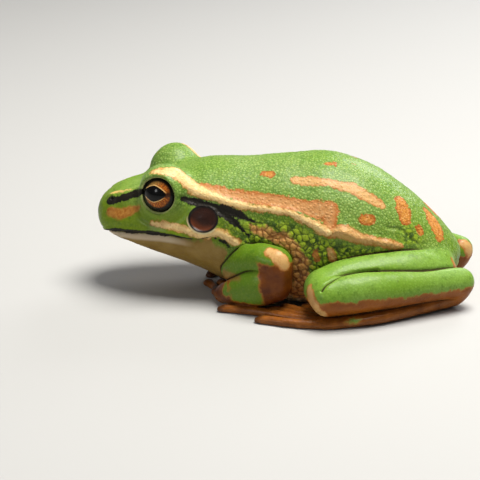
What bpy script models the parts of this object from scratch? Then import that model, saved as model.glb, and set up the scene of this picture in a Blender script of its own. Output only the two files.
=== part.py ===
"""A bell frog at rest, life size, divided into its body parts as closed solids.

Frame: metres, +Z up. The frog faces -X, its left side is -Y, and it rests on z = 0, which is
flattened under the belly, hands and feet. The sizes below are millimetres, and a limb is written
once, with "out" as the distance outward from the mid plane, and built on both sides.
"""

import math

import bmesh
import bpy
from mathutils import Vector

MM = 0.001
SIDES = ((-1, "left"), (1, "right"))
GAP = 0.3  # air between two solids that meet
FLOOR_DEPTH = 6.0  # how far the floor cutter reaches below z = 0

# The body, snout to vent: x, half width, top, bottom, height of the widest line, and the
# roundness of the section above and below that line (2 is an ellipse, more is boxier).
BODY_STATIONS = (
    (-37.4, 1.5, 15.4, 12.8, 14.2, 2.0, 2.0),
    (-36.7, 3.5, 16.9, 11.4, 13.4, 2.0, 2.1),
    (-35.3, 5.2, 18.1, 10.3, 12.7, 2.0, 2.2),
    (-32.7, 7.1, 19.3, 9.4, 12.2, 2.0, 2.3),
    (-29.2, 8.9, 20.5, 8.7, 12.2, 2.0, 2.3),
    (-25.2, 10.4, 21.9, 7.9, 12.6, 2.0, 2.3),
    (-21.2, 11.5, 23.4, 6.9, 13.2, 2.0, 2.3),
    (-16.7, 12.2, 24.9, 5.2, 13.4, 2.0, 2.2),
    (-11.7, 12.5, 25.7, 2.8, 13.0, 2.0, 2.2),
    (-5.7, 12.9, 26.1, 0.8, 12.2, 2.0, 2.2),
    (1.3, 14.0, 27.1, -0.2, 11.4, 2.0, 2.3),
    (8.3, 14.7, 27.5, -0.4, 11.0, 2.0, 2.4),
    (15.3, 14.0, 25.8, -0.4, 10.4, 2.0, 2.4),
    (22.3, 12.0, 21.8, 0.2, 9.6, 2.0, 2.3),
    (28.3, 9.2, 16.9, 1.4, 8.8, 2.0, 2.2),
    (31.9, 6.3, 13.3, 3.0, 8.2, 2.0, 2.1),
    (33.8, 3.5, 10.7, 4.8, 8.0, 2.0, 2.0),
    (34.6, 1.2, 9.0, 7.0, 8.0, 2.0, 2.0),
)
BODY_SIDES = 22
BODY_STEPS = 2  # rings from one station to the next

# The cut lines of the body in side view, as (x, z).
MOUTH_LINE = ((-39.7, 10.4), (-35.7, 10.9), (-29.7, 11.9), (-23.7, 12.6), (-17.7, 12.9), (-11.2, 14.2))
NECK_LINE = ((-11.2, 14.2), (-8.7, 30.0))
THROAT_LINE = ((-11.2, 14.2), (-14.2, -2.0))
BODY_REACH = 60.0  # beyond the body on every side

BALL_SIDES = 14
BALL_RINGS = 9
ROD_SIDES = 16

# The eyes: a ball under a dome of lids, which is open round the gaze.
EYE_CENTRE = (-22.9, 7.5, 20.9)  # x, out, z
EYE_RADIUS = 4.2
LID_CENTRE = (-22.9, 7.1, 21.1)
LID_RADII = (5.4, 5.3, 5.4)
LID_OPENING = 3.3  # radius
GAZE = (-0.28, 0.94, 0.10)  # x, out, z

# The eardrums: flat discs sunk in the side of the head.
EARDRUM_CENTRE = (-14.8, 12.0, 17.5)
EARDRUM_FACING = (-0.05, 0.93, 0.33)
EARDRUM_RADIUS = 2.9
EARDRUM_THICKNESS = 1.2

# Limbs: x, out, z, half width and half height at each station.
UPPER_ARM = (
    (-8.3, 10.8, 7.0, 3.1, 3.1),
    (-6.3, 12.6, 9.0, 3.2, 3.2),
    (-3.5, 14.4, 10.3, 3.2, 3.2),
    (-0.3, 15.9, 10.1, 3.1, 3.2),
)
FOREARM_AND_HAND = (
    (-0.5, 16.0, 6.4, 3.2, 3.7),
    (-3.7, 15.7, 5.0, 3.2, 3.3),
    (-6.7, 14.6, 3.3, 2.6, 2.5),
    (-9.2, 13.2, 2.0, 2.1, 1.8),
    (-10.5, 11.5, 1.3, 2.3, 1.3),
    (-11.3, 9.8, 0.9, 2.7, 1.0),
)
WRIST = 3  # the station that parts the forearm from the hand
THIGH = (
    (29.9, 7.0, 5.9, 4.2, 4.4),
    (26.4, 9.2, 6.5, 4.9, 4.9),
    (20.3, 12.2, 7.0, 5.0, 5.0),
    (13.3, 15.6, 7.1, 4.6, 4.8),
    (9.1, 17.6, 6.8, 4.0, 4.1),
)
SHANK = (
    (9.9, 21.2, 5.6, 3.4, 3.6),
    (14.8, 19.5, 6.1, 3.7, 3.9),
    (20.4, 16.8, 6.0, 3.6, 3.8),
    (27.5, 13.1, 5.7, 3.2, 3.3),
    (34.7, 9.3, 5.3, 2.7, 2.8),
)
TARSUS_AND_FOOT = (
    (33.3, 9.0, 1.9, 1.9, 1.7),
    (26.3, 13.6, 1.6, 2.1, 1.6),
    (20.5, 17.6, 1.4, 2.3, 1.5),
    (15.3, 19.8, 1.2, 2.7, 1.3),
    (9.5, 20.2, 1.0, 3.6, 1.1),
)
INSTEP = 2  # the station that parts the tarsus from the foot
LIMB_SIDES = 12
LIMB_STEPS = 2  # rings from one station to the next

# Digits, inner to outer: the points (x, out) that each passes on its way from the flat end of the
# hand or foot, the last of them the centre of its tip.
FINGERS = (
    ((-9.1, 6.4), (-9.6, 4.2)),
    ((-11.1, 5.4), (-12.2, 1.9)),
    ((-12.8, 5.6), (-14.6, 1.4)),
    ((-14.3, 7.6), (-15.2, 5.0)),
)
TOES = (
    ((6.6, 15.2), (4.9, 13.0)),
    ((4.7, 16.3), (0.7, 13.9)),
    ((3.9, 17.9), (-1.9, 15.5)),
    ((4.5, 20.2), (-4.0, 17.2), (-11.1, 16.0)),
    ((3.3, 22.7), (-3.4, 20.9)),
)
DIGIT_SIDES = 6
DIGIT_STEPS = 2
FINGER_ROOT = 0.52  # radius
FINGER_PITCH = 1.38  # from one finger's root to the next
TOE_ROOT = 0.58
TOE_PITCH = 1.5
DIGIT_RADIUS = 0.8  # halfway along
PAD_RADIUS = 1.0  # the round pad at the tip
DIGIT_SINK = 0.1  # how far a digit's round underside dips below the floor, which flattens it

COLOURS = {  # base colour, roughness
    "green_skin": ((0.20, 0.42, 0.09, 1.0), 0.42),
    "pale_skin": ((0.62, 0.50, 0.28, 1.0), 0.45),
    "copper_skin": ((0.36, 0.15, 0.06, 1.0), 0.40),
    "eardrum_skin": ((0.06, 0.02, 0.012, 1.0), 0.40),
    "eye": ((0.50, 0.20, 0.03, 1.0), 0.08),
}


def clear_scene():
    for obj in list(bpy.data.objects):
        bpy.data.objects.remove(obj, do_unlink=True)


def make_collection(name):
    collection = bpy.data.collections.new(name)
    bpy.context.scene.collection.children.link(collection)
    return collection


def make_material(name):
    colour, roughness = COLOURS[name]
    material = bpy.data.materials.new(name)
    material.use_nodes = True
    shader = material.node_tree.nodes["Principled BSDF"]
    shader.inputs["Base Color"].default_value = colour
    shader.inputs["Roughness"].default_value = roughness
    shader.inputs["Metallic"].default_value = 0.0
    material.diffuse_color = colour
    return material


def smooth_rows(rows, steps):
    """Rows of numbers, with steps from one row to the next on a Catmull-Rom curve through all of them."""
    last = len(rows) - 1
    made = []
    for i in range(last):
        before, start, end, after = rows[max(i - 1, 0)], rows[i], rows[i + 1], rows[min(i + 2, last)]
        for step in range(steps):
            t = step / steps
            made.append(
                tuple(
                    0.5
                    * (
                        2 * b
                        + (c - a) * t
                        + (2 * a - 5 * b + 4 * c - d) * t**2
                        + (3 * b - a - 3 * c + d) * t**3
                    )
                    for a, b, c, d in zip(before, start, end, after)
                )
            )
    made.append(tuple(rows[last]))
    return made


def signed_power(value, exponent):
    return math.copysign(abs(value) ** exponent, value)


def finished(bm, name):
    """The mesh of bm, in metres, shaded smooth except at its cut edges."""
    for vert in bm.verts:
        vert.co *= MM
    bmesh.ops.recalc_face_normals(bm, faces=bm.faces)
    mesh = bpy.data.meshes.new(name)
    bm.to_mesh(mesh)
    bm.free()
    mesh.shade_smooth()
    mesh.set_sharp_from_angle(angle=math.radians(50))
    return mesh


def loft_mesh(name, rings):
    """A closed mesh through rings of equally many points, with a flat face at either end."""
    bm = bmesh.new()
    loops = [[bm.verts.new(point) for point in ring] for ring in rings]
    for near, far in zip(loops, loops[1:]):
        for k in range(len(near)):
            j = (k + 1) % len(near)
            bm.faces.new((near[k], near[j], far[j], far[k]))
    bm.faces.new(loops[0])
    bm.faces.new(loops[-1])
    return finished(bm, name)


def ball_mesh(name, radii):
    """An ellipsoid round its own centre."""
    bm = bmesh.new()
    bmesh.ops.create_uvsphere(bm, u_segments=BALL_SIDES, v_segments=BALL_RINGS, radius=1.0)
    bmesh.ops.scale(bm, verts=bm.verts, vec=radii)
    return finished(bm, name)


def rod_mesh(name, radius, length):
    """A cylinder that starts at its own origin and runs along +Z."""
    bm = bmesh.new()
    bmesh.ops.create_cone(
        bm, cap_ends=True, segments=ROD_SIDES, radius1=radius, radius2=radius, depth=length
    )
    bmesh.ops.translate(bm, verts=bm.verts, vec=(0.0, 0.0, length / 2))
    return finished(bm, name)


def prism_mesh(name, outline):
    """A slab across the whole body with this outline in side view, as (x, z)."""
    return loft_mesh(name, [[(x, y, z) for x, z in outline] for y in (-BODY_REACH, BODY_REACH)])


def body_mesh():
    """The trunk, neck and head as one loft along X."""
    rings = []
    for x, width, top, bottom, widest, round_up, round_down in smooth_rows(BODY_STATIONS, BODY_STEPS):
        ring = []
        for k in range(BODY_SIDES):
            angle = 2 * math.pi * k / BODY_SIDES
            upper = math.sin(angle) >= 0
            power = 2 / (round_up if upper else round_down)
            height = (top - widest) if upper else (widest - bottom)
            y = width * signed_power(math.cos(angle), power)
            z = widest + height * signed_power(math.sin(angle), power)
            ring.append(Vector((x, y, z)))
        rings.append(ring)
    return loft_mesh("body", rings)


def limb_rings(stations, side, steps=LIMB_STEPS):
    """Where each ring of a limb sits: centre, the way along, across and up, half width and half height."""
    rows = smooth_rows([(x, side * out, z, w, h) for x, out, z, w, h in stations], steps)
    centres = [Vector(row[:3]) for row in rows]
    rings = []
    for i, row in enumerate(rows):
        along = (centres[min(i + 1, len(rows) - 1)] - centres[max(i - 1, 0)]).normalized()
        across = along.cross(Vector((0, 0, 1))).normalized()
        rings.append((centres[i], along, across, across.cross(along), row[3], row[4]))
    return rings


def parted(rings, at):
    """Two limbs out of one, with a gap between their flat ends."""
    centre, along = rings[at][:2]
    near = rings[:at] + [(centre - along * (GAP / 2), *rings[at][1:])]
    far = [(centre + along * (GAP / 2), *rings[at][1:])] + rings[at + 1 :]
    return near, far


def limb_mesh(name, rings, ends, grow=0.0, sides=LIMB_SIDES):
    """A limb through its rings, each end round (True) or flat. grow fattens it all round."""
    shaped = list(rings)
    for end, way in ((0, -1), (-1, 1)):
        centre, along, across, up, width, height = rings[end]
        extra = []
        if ends[end]:
            for turn in (38, 70):
                reach = (min(width, height) + grow) * math.sin(math.radians(turn))
                shrink = math.cos(math.radians(turn))
                middle = centre + along * (way * reach)
                wide = (width + grow) * shrink - grow
                high = (height + grow) * shrink - grow
                extra.append((middle, along, across, up, wide, high))
        elif grow:
            extra.append((centre + along * (way * grow), *rings[end][1:]))
        shaped = extra[::-1] + shaped if end == 0 else shaped + extra
    points = []
    for centre, _, across, up, width, height in shaped:
        turns = [2 * math.pi * (k + 0.5) / sides for k in range(sides)]
        wide, high = across * (width + grow), up * (height + grow)
        points.append([centre + wide * math.cos(turn) + high * math.sin(turn) for turn in turns])
    return loft_mesh(name, points)


def digit_stations(root, points, root_radius):
    """A digit from its root through its points to the pad at its tip, resting on the floor."""
    path = smooth_rows([tuple(root), *points], DIGIT_STEPS)
    last = len(path) - 1
    stations = []
    for i, (x, out) in enumerate(path):
        share = 2 * i / last
        radius = root_radius + (DIGIT_RADIUS - root_radius) * min(share, 1.0)
        if i == last:
            radius = PAD_RADIUS
        height = radius * 0.9
        stations.append((x, out, height - DIGIT_SINK, radius, height))
    return stations


def fan(stations, count, pitch):
    """Where digits leave the flat end of a hand or foot: a point (x, out) for each, side by side."""
    (x0, out0), (x1, out1) = stations[-2][:2], stations[-1][:2]
    along = Vector((x1 - x0, out1 - out0)).normalized()
    start = Vector((x1, out1)) + along * GAP
    across = Vector((along.y, -along.x))
    return [start + across * (pitch * (k - (count - 1) / 2)) for k in range(count)]


class Model:
    """Places the nodes and their cutters, each in its own collection."""

    def __init__(self):
        self.parts = make_collection("tree_frog")
        self.cutters = make_collection("cutters")
        self.materials = {name: make_material(name) for name in COLOURS}
        self.root = bpy.data.objects.new("tree_frog_root", None)
        self.parts.objects.link(self.root)

    def place(self, name, mesh, collection, at, facing):
        """An object whose origin is at this point, in millimetres, and whose +Z faces this way."""
        obj = bpy.data.objects.new(name, mesh)
        obj.location = Vector(at) * MM
        obj.rotation_euler = Vector((0, 0, 1)).rotation_difference(Vector(facing)).to_euler()
        obj.parent = self.root
        collection.objects.link(obj)
        return obj

    def node(self, name, mesh, material, at=(0, 0, 0), facing=(0, 0, 1)):
        mesh.materials.append(self.materials[material])
        return self.place(name, mesh, self.parts, at, facing)

    def cutter(self, name, mesh, at=(0, 0, 0), facing=(0, 0, 1)):
        obj = self.place(name, mesh, self.cutters, at, facing)
        obj.hide_render = True
        obj.display_type = "WIRE"
        return obj

    def combine(self, obj, other, operation="DIFFERENCE"):
        modifier = obj.modifiers.new(f"{operation.lower()}_{other.name}", "BOOLEAN")
        modifier.operation = operation
        modifier.solver = "EXACT"
        modifier.object = other


def sided(point, side):
    """(x, out, z) on one side of the body as a place in the frame."""
    return Vector((point[0], side * point[1], point[2]))


def shifted(line, dx=0.0, dz=0.0):
    return [(x + dx, z + dz) for x, z in line]


def body_zones():
    """The outlines in side view of head, lower jaw and trunk, half a gap back from each cut line."""
    half, reach = GAP / 2, BODY_REACH
    front = -reach
    mouth_up, mouth_down = shifted(MOUTH_LINE, 0, half), shifted(MOUTH_LINE, 0, -half)
    nape, throat = NECK_LINE[-1][0], THROAT_LINE[-1][0]
    return {
        "head": mouth_up[:-1]
        + shifted(NECK_LINE, -half, half)
        + [(nape - half, reach), (front, reach), (front, mouth_up[0][1])],
        "lower_jaw": mouth_down[:-1]
        + shifted(THROAT_LINE, -half, -half)
        + [(throat - half, -reach), (front, -reach), (front, mouth_down[0][1])],
        "trunk": shifted(THROAT_LINE[::-1], half)
        + shifted(NECK_LINE[1:], half)
        + [(nape + half, reach), (reach, reach), (reach, -reach), (throat + half, -reach)],
    }


def make_body(model):
    """Head, lower jaw and trunk: one body, parted along the mouth and the neck."""
    made = {}
    for name, outline in body_zones().items():
        body = model.node(name, body_mesh(), "pale_skin" if name == "lower_jaw" else "green_skin")
        if name == "head":
            for side, label in SIDES:
                lids = model.cutter(f"lids_{label}", ball_mesh("lids", LID_RADII), sided(LID_CENTRE, side))
                model.combine(body, lids, "UNION")
        zone = model.cutter(f"{name}_zone", prism_mesh(f"{name}_zone", outline))
        model.combine(body, zone, "INTERSECT")
        made[name] = body
    return made


def make_eye(model, head, side, label):
    centre = sided(EYE_CENTRE, side)
    model.node(f"eye_{label}", ball_mesh("eye", (EYE_RADIUS,) * 3), "eye", centre)
    socket = model.cutter(f"socket_{label}", ball_mesh("socket", (EYE_RADIUS + GAP,) * 3), centre)
    opening = rod_mesh("lid_opening", LID_OPENING, 3 * EYE_RADIUS)
    model.combine(head, socket)
    model.combine(head, model.cutter(f"lid_opening_{label}", opening, centre, sided(GAZE, side)))


def make_eardrum(model, head, side, label):
    """A disc whose outer face lies where the skin is, in a pocket that is open to the outside."""
    facing = sided(EARDRUM_FACING, side).normalized()
    back = sided(EARDRUM_CENTRE, side) - facing * EARDRUM_THICKNESS
    disc = rod_mesh("eardrum", EARDRUM_RADIUS, EARDRUM_THICKNESS)
    model.node(f"eardrum_{label}", disc, "eardrum_skin", back, facing)
    pocket = rod_mesh("eardrum_pocket", EARDRUM_RADIUS + GAP, BODY_REACH)
    model.combine(head, model.cutter(f"eardrum_pocket_{label}", pocket, back - facing * GAP, facing))


def make_digits(model, stations, digits, kind, root_radius, pitch, side, label):
    for k, (root, points) in enumerate(zip(fan(stations, len(digits), pitch), digits), 1):
        rings = limb_rings(digit_stations(root, points, root_radius), side, 1)
        mesh = limb_mesh(kind, rings, (False, True), sides=DIGIT_SIDES)
        model.node(f"{kind}_{k}_{label}", mesh, "copper_skin")


def make_limbs(model, body, side, label):
    """Both limbs of one side. Where two meet, the one named first keeps its shape and the other is cut to fit."""
    round_both, flat_end, flat_both = (True, True), (True, False), (False, False)
    forearm, hand = parted(limb_rings(FOREARM_AND_HAND, side), WRIST * LIMB_STEPS)
    tarsus, foot = parted(limb_rings(TARSUS_AND_FOOT, side), INSTEP * LIMB_STEPS)
    upper_arm, thigh, shank = (limb_rings(rows, side) for rows in (UPPER_ARM, THIGH, SHANK))
    limbs = (
        ("forearm", forearm, flat_end, "green_skin", ("upper_arm", "trunk", "lower_jaw")),
        ("upper_arm", upper_arm, round_both, "green_skin", ("trunk", "lower_jaw", "head")),
        ("hand", hand, flat_both, "green_skin", ()),
        ("tarsus", tarsus, flat_end, "copper_skin", ("shank", "thigh")),
        ("foot", foot, flat_both, "copper_skin", ("shank", "thigh")),
        ("shank", shank, round_both, "green_skin", ("thigh", "trunk")),
        ("thigh", thigh, round_both, "green_skin", ("trunk",)),
    )
    made = dict(body)
    for name, rings, ends, material, _ in limbs:
        made[name] = model.node(f"{name}_{label}", limb_mesh(name, rings, ends), material)
    for name, rings, ends, _, gives_way in limbs:
        if gives_way:
            cutter = model.cutter(f"{name}_{label}_room", limb_mesh(name, rings, ends, GAP))
            for other in gives_way:
                model.combine(made[other], cutter)
    make_digits(model, FOREARM_AND_HAND, FINGERS, "finger", FINGER_ROOT, FINGER_PITCH, side, label)
    make_digits(model, TARSUS_AND_FOOT, TOES, "toe", TOE_ROOT, TOE_PITCH, side, label)


def flatten_undersides(model):
    """Cuts off what dips below the floor, which leaves the small flats that the frog rests on."""
    reach = BODY_REACH
    outline = [(-reach, 0.0), (reach, 0.0), (reach, -FLOOR_DEPTH), (-reach, -FLOOR_DEPTH)]
    floor = model.cutter("floor", prism_mesh("floor", outline))
    for obj in model.parts.objects:
        if obj.type == "MESH" and obj.location.z == 0 and min(vert.co.z for vert in obj.data.vertices) < 0:
            model.combine(obj, floor)


def main():
    clear_scene()
    model = Model()
    body = make_body(model)
    for side, label in SIDES:
        make_eye(model, body["head"], side, label)
        make_eardrum(model, body["head"], side, label)
        make_limbs(model, body, side, label)
    flatten_undersides(model)


main()
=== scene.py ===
"""The look of the tree frog: one skin over every part of its body, and two eyes.

The skin is the surface of one smooth field. Body and limbs are lofts that run into each other,
lids, mouth, eardrums, folds and granules are raised on it or pressed into it, and the field is
meshed and then settled exactly on its surface. Its colours are strokes of pigment, kept on the
mesh as distances and turned into edges, blends and grain by the material's nodes.

Lengths are millimetres until a mesh is made. "out" is the distance from the mid plane, so a place
written once as (x, out, z) stands for both sides. The frog faces -X and rests on z = 0.
"""

import math

import bmesh
import bpy
import numpy as np
import openvdb
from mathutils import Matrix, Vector


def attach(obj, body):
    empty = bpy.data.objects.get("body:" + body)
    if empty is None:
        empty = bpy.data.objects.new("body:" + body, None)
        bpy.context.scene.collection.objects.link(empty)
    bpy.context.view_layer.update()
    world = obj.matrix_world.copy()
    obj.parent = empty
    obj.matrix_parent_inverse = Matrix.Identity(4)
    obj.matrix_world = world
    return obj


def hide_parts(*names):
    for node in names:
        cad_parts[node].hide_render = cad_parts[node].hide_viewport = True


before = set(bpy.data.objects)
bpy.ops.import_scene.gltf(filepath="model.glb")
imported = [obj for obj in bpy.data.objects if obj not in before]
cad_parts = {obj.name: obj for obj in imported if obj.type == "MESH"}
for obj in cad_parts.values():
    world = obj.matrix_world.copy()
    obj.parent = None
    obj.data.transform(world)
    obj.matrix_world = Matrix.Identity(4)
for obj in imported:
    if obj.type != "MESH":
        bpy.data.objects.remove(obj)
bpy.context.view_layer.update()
scene = bpy.context.scene

MM = 0.001
SIDES = ((-1, "left"), (1, "right"))

# ---------------------------------------------------------------- forms

# x, half width, top, bottom, height of the widest line, roundness above and below it
BODY_STATIONS = (
    (-37.3, 0.1, 14.6, 14.2, 14.4, 2.4, 2.0),
    (-37.1, 1.7, 15.8, 13.1, 14.4, 2.5, 2.0),
    (-36.5, 3.4, 17.3, 12.0, 13.8, 2.6, 2.1),
    (-35.2, 5.1, 18.5, 11.1, 13.0, 2.8, 2.2),
    (-32.7, 7.0, 19.8, 10.0, 12.4, 3.0, 2.3),
    (-29.2, 8.9, 20.9, 9.2, 12.3, 2.9, 2.3),
    (-25.2, 10.4, 22.5, 7.8, 12.6, 2.5, 2.3),
    (-21.2, 11.5, 24.0, 6.4, 13.2, 2.2, 2.3),
    (-16.7, 12.2, 25.4, 4.5, 13.4, 2.1, 2.2),
    (-11.7, 12.5, 25.9, 2.2, 13.0, 2.1, 2.3),
    (-5.7, 12.9, 26.2, 0.6, 12.0, 2.1, 2.9),
    (1.3, 14.0, 27.1, -0.2, 10.6, 2.0, 4.0),
    (8.3, 14.6, 27.5, -0.4, 10.2, 2.0, 4.2),
    (15.3, 14.0, 25.8, -0.4, 9.8, 2.0, 3.6),
    (22.3, 12.0, 21.7, 0.2, 9.2, 2.0, 2.9),
    (28.3, 9.2, 16.6, 1.4, 8.8, 2.0, 2.4),
    (31.9, 6.3, 13.0, 3.0, 8.2, 2.0, 2.1),
    (33.8, 3.5, 10.5, 4.8, 8.0, 2.0, 2.0),
    (34.5, 1.2, 9.0, 7.0, 8.0, 2.0, 2.0),
    (34.65, 0.1, 8.2, 7.8, 8.0, 2.0, 2.0),
)

# Limbs: x, out, z, half width, half height
UPPER_ARM = (
    (-8.3, 10.8, 7.0, 3.1, 3.1),
    (-6.3, 12.6, 9.0, 3.2, 3.2),
    (-3.5, 14.4, 10.3, 3.2, 3.2),
    (-0.3, 15.9, 10.1, 3.1, 3.2),
)
FOREARM_AND_HAND = (
    (-0.6, 16.0, 6.6, 3.3, 4.0),
    (-3.7, 15.5, 5.4, 3.3, 4.1),
    (-6.6, 14.6, 4.1, 2.8, 3.3),
    (-9.0, 13.3, 3.0, 2.3, 2.6),
    (-10.2, 11.7, 2.3, 2.2, 2.1),
    (-10.7, 10.0, 1.5, 2.4, 1.5),
)
THIGH = (
    (29.9, 7.0, 5.9, 4.2, 4.5),
    (26.4, 9.2, 6.7, 4.9, 5.1),
    (20.3, 12.2, 7.0, 5.0, 5.1),
    (13.3, 15.6, 6.6, 4.6, 4.7),
    (9.1, 17.8, 6.0, 4.0, 4.1),
)
SHANK = (
    (9.9, 21.2, 5.6, 3.4, 3.6),
    (14.8, 19.5, 6.1, 3.7, 3.9),
    (20.4, 16.8, 6.0, 3.6, 3.8),
    (27.5, 13.1, 5.7, 3.2, 3.3),
    (34.7, 9.3, 5.3, 2.7, 2.8),
)
TARSUS_AND_FOOT = (
    (33.3, 9.0, 1.9, 1.9, 1.7),
    (26.3, 13.6, 1.6, 2.1, 1.6),
    (20.5, 17.6, 1.4, 2.3, 1.5),
    (15.3, 19.8, 1.2, 2.7, 1.3),
    (9.5, 20.2, 1.0, 3.6, 1.1),
)
# Digits, inner to outer: the points (x, out) of each, root to tip
FINGERS = (
    ((-10.0, 10.8), (-9.4, 7.4), (-9.8, 4.4)),
    ((-10.8, 10.4), (-11.2, 5.8), (-12.6, 1.7)),
    ((-11.2, 10.8), (-12.8, 6.2), (-15.4, 2.0)),
    ((-11.0, 11.4), (-12.2, 9.4), (-13.1, 6.6)),
)
TOES = (
    ((17.0, 18.4), (13.0, 18.4), (9.4, 17.2), (6.8, 15.2), (4.9, 13.0)),
    ((17.2, 18.7), (13.2, 19.2), (9.5, 18.7), (4.9, 16.5), (0.7, 13.9)),
    ((17.4, 19.0), (13.4, 20.0), (9.6, 20.2), (4.0, 18.1), (-1.9, 15.5)),
    ((17.4, 19.3), (13.4, 20.8), (9.7, 21.5), (3.7, 20.0), (-4.0, 17.3), (-11.1, 16.0)),
    ((17.2, 19.6), (13.2, 21.5), (9.6, 22.8), (3.3, 22.6), (-3.4, 20.9)),
)
FINGER_RADIUS, TOE_RADIUS, PAD_RADIUS = 0.85, 1.05, 1.05
# Shares of the radius, as points (distance from the tip, share): the pad's, and a digit's height
PAD_SHAPE = ((0.0, 0.8), (0.6, 1.0), (1.3, 0.9))
DIGIT_HEIGHT = ((0.0, 0.68), (1.0, 0.78), (2.2, 0.95))
NECK, NECK_SHARE = 2.1, 0.82  # a digit is thinnest this far behind its tip, at this share of its radius
WEB_SPREAD = 2.4  # the web ends where two toes are this far apart
WEB_HEIGHT, WEB_HALF_THICK = 0.4, 0.24
WEB_FROM, WEB_TO, WEB_BELOW = -14.0, 18.0, 3.0  # no web lies outside these x and z

# Where parts run into each other: the place, how far the wide blend reaches, the blend
# away from it, and how much wider it is there
SHOULDER_BLEND = ((-9.5, 10.0, 6.5), 4.0, 0.3, 1.4)
ELBOW_BLEND = ((0.6, 16.6, 8.4), 3.4, 0.5, 2.6)
HIP_BLEND = ((32.5, 7.5, 9.5), 4.6, 0.2, 3.2)
KNEE_BLEND = ((7.6, 19.8, 6.6), 3.6, 0.2, 3.0)
HEEL_BLEND = ((35.2, 8.8, 3.2), 3.6, 0.4, 3.4)
LID_BLEND, FINGER_BLEND, TOE_BLEND, WEB_BLEND, FLOOR_BLEND = 1.8, 0.6, 0.5, 0.4, 0.25

EYE_CENTRE = (-22.9, 7.5, 20.9)
EYE_RADIUS = 4.2
LID_CENTRE = (-22.7, 7.1, 21.1)
LID_RADII = (5.2, 5.3, 5.3)
LID_OPENING = 3.3
LID_FLARE = 0.75  # how much wider the opening gets, per millimetre outwards
FLARE_START = 0.6  # how far along the gaze it begins, where 1 is the eyeball's edge in the opening
LID_EDGE = 0.5
SOCKET_GAP = 0.02
HEAD_END = -8.0  # x behind which no eye reaches
GAZE = (-0.28, 0.94, 0.10)  # what the lids open towards
GAZE_OF_IRIS = (-0.24, 0.95, 0.18)

EARDRUM_CENTRE = (-14.8, 11.8, 17.2)
EARDRUM_FACING = (-0.04, 0.95, 0.3)
EARDRUM_RADII = (2.85, 2.5)  # along the body and across it
EARDRUM_SIZE = 2.7  # about the middle of the two

MOUTH_LINE = (
    (-36.6, 10.6), (-35.0, 11.6), (-33.4, 12.3), (-30.7, 12.8), (-26.9, 13.2), (-23.8, 13.4),
    (-20.7, 13.3), (-17.4, 12.9), (-15.4, 13.1), (-12.6, 13.9),
)

GRID_STEP = 0.22
COARSE = 4  # steps of the grid in one of the coarse grid that finds where the surface is
GRID_LOW, GRID_HIGH = (-38.6, 0.0, -0.9), (38.4, 25.5, 28.2)
NEAR_SURFACE = 4 * GRID_STEP + 0.6
FIELD_LIMIT = 3.0  # the grid holds no larger distance
FAR = 9.0  # a distance that no blend reaches
CHUNK = 100000  # points worked out at once
TINY = 1e-6


def curve_through(rows, steps):
    """Rows of numbers, with steps from one to the next on a Catmull-Rom curve through all of them."""
    rows = np.array(rows, float)
    padded = np.vstack((rows[:1], rows, rows[-1:]))
    made = []
    for a, b, c, d in zip(padded, padded[1:], padded[2:], padded[3:]):
        for t in np.arange(steps) / steps:
            bent = 2 * b + (c - a) * t + (2 * a - 5 * b + 4 * c - d) * t**2
            made.append(0.5 * (bent + (3 * b - a - 3 * c + d) * t**3))
    made.append(rows[-1])
    return np.array(made)


def unit(vector):
    vector = np.asarray(vector, float)
    return vector / np.linalg.norm(vector)


def along_x(x, points):
    """The height at x of a broken line through points (x, height)."""
    return np.interp(x, *zip(*points))


def outside(reach, share):
    """How far past a surface a point is that lies this far out, which is this share of the way to it."""
    return reach - reach / np.maximum(share, TINY)


def smooth_union(a, b, blend):
    share = np.clip(0.5 + 0.5 * (b - a) / blend, 0.0, 1.0)
    return b + (a - b) * share - blend * share * (1.0 - share)


def smooth_cut(a, b, blend):
    """a with b taken out of it."""
    return -smooth_union(-a, b, blend)


BODY = curve_through(BODY_STATIONS, 8)


def body_distance(p):
    x, out, z = p.T
    width, top, bottom, widest, round_up, round_down = (
        np.interp(x, BODY[:, 0], BODY[:, k]) for k in range(1, 7)
    )
    rise = z - widest
    upper = rise >= 0
    height = np.where(upper, top - widest, widest - bottom)
    power = np.where(upper, round_up, round_down)
    share = ((out / width) ** power + (np.abs(rise) / height) ** power) ** (1 / power)
    across = outside(np.hypot(out, rise), share)
    beyond = np.maximum(BODY[0, 0] - x, x - BODY[-1, 0])
    return np.where(beyond > 0, np.hypot(np.maximum(across, 0), beyond), across)


def nearest(q, line):
    """The squared distance from each point to a line, and how many of the line's points lie before there."""
    best = np.full(len(q), np.inf)
    passed = np.zeros(len(q))
    for k, (start, end) in enumerate(zip(line, line[1:])):
        step = end - start
        share = np.clip((q - start) @ step / (step @ step), 0, 1)
        gap = ((q - start - share[:, None] * step) ** 2).sum(1)
        nearer = gap < best
        best[nearer] = gap[nearer]
        passed[nearer] = k + share[nearer]
    return best, passed


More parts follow.
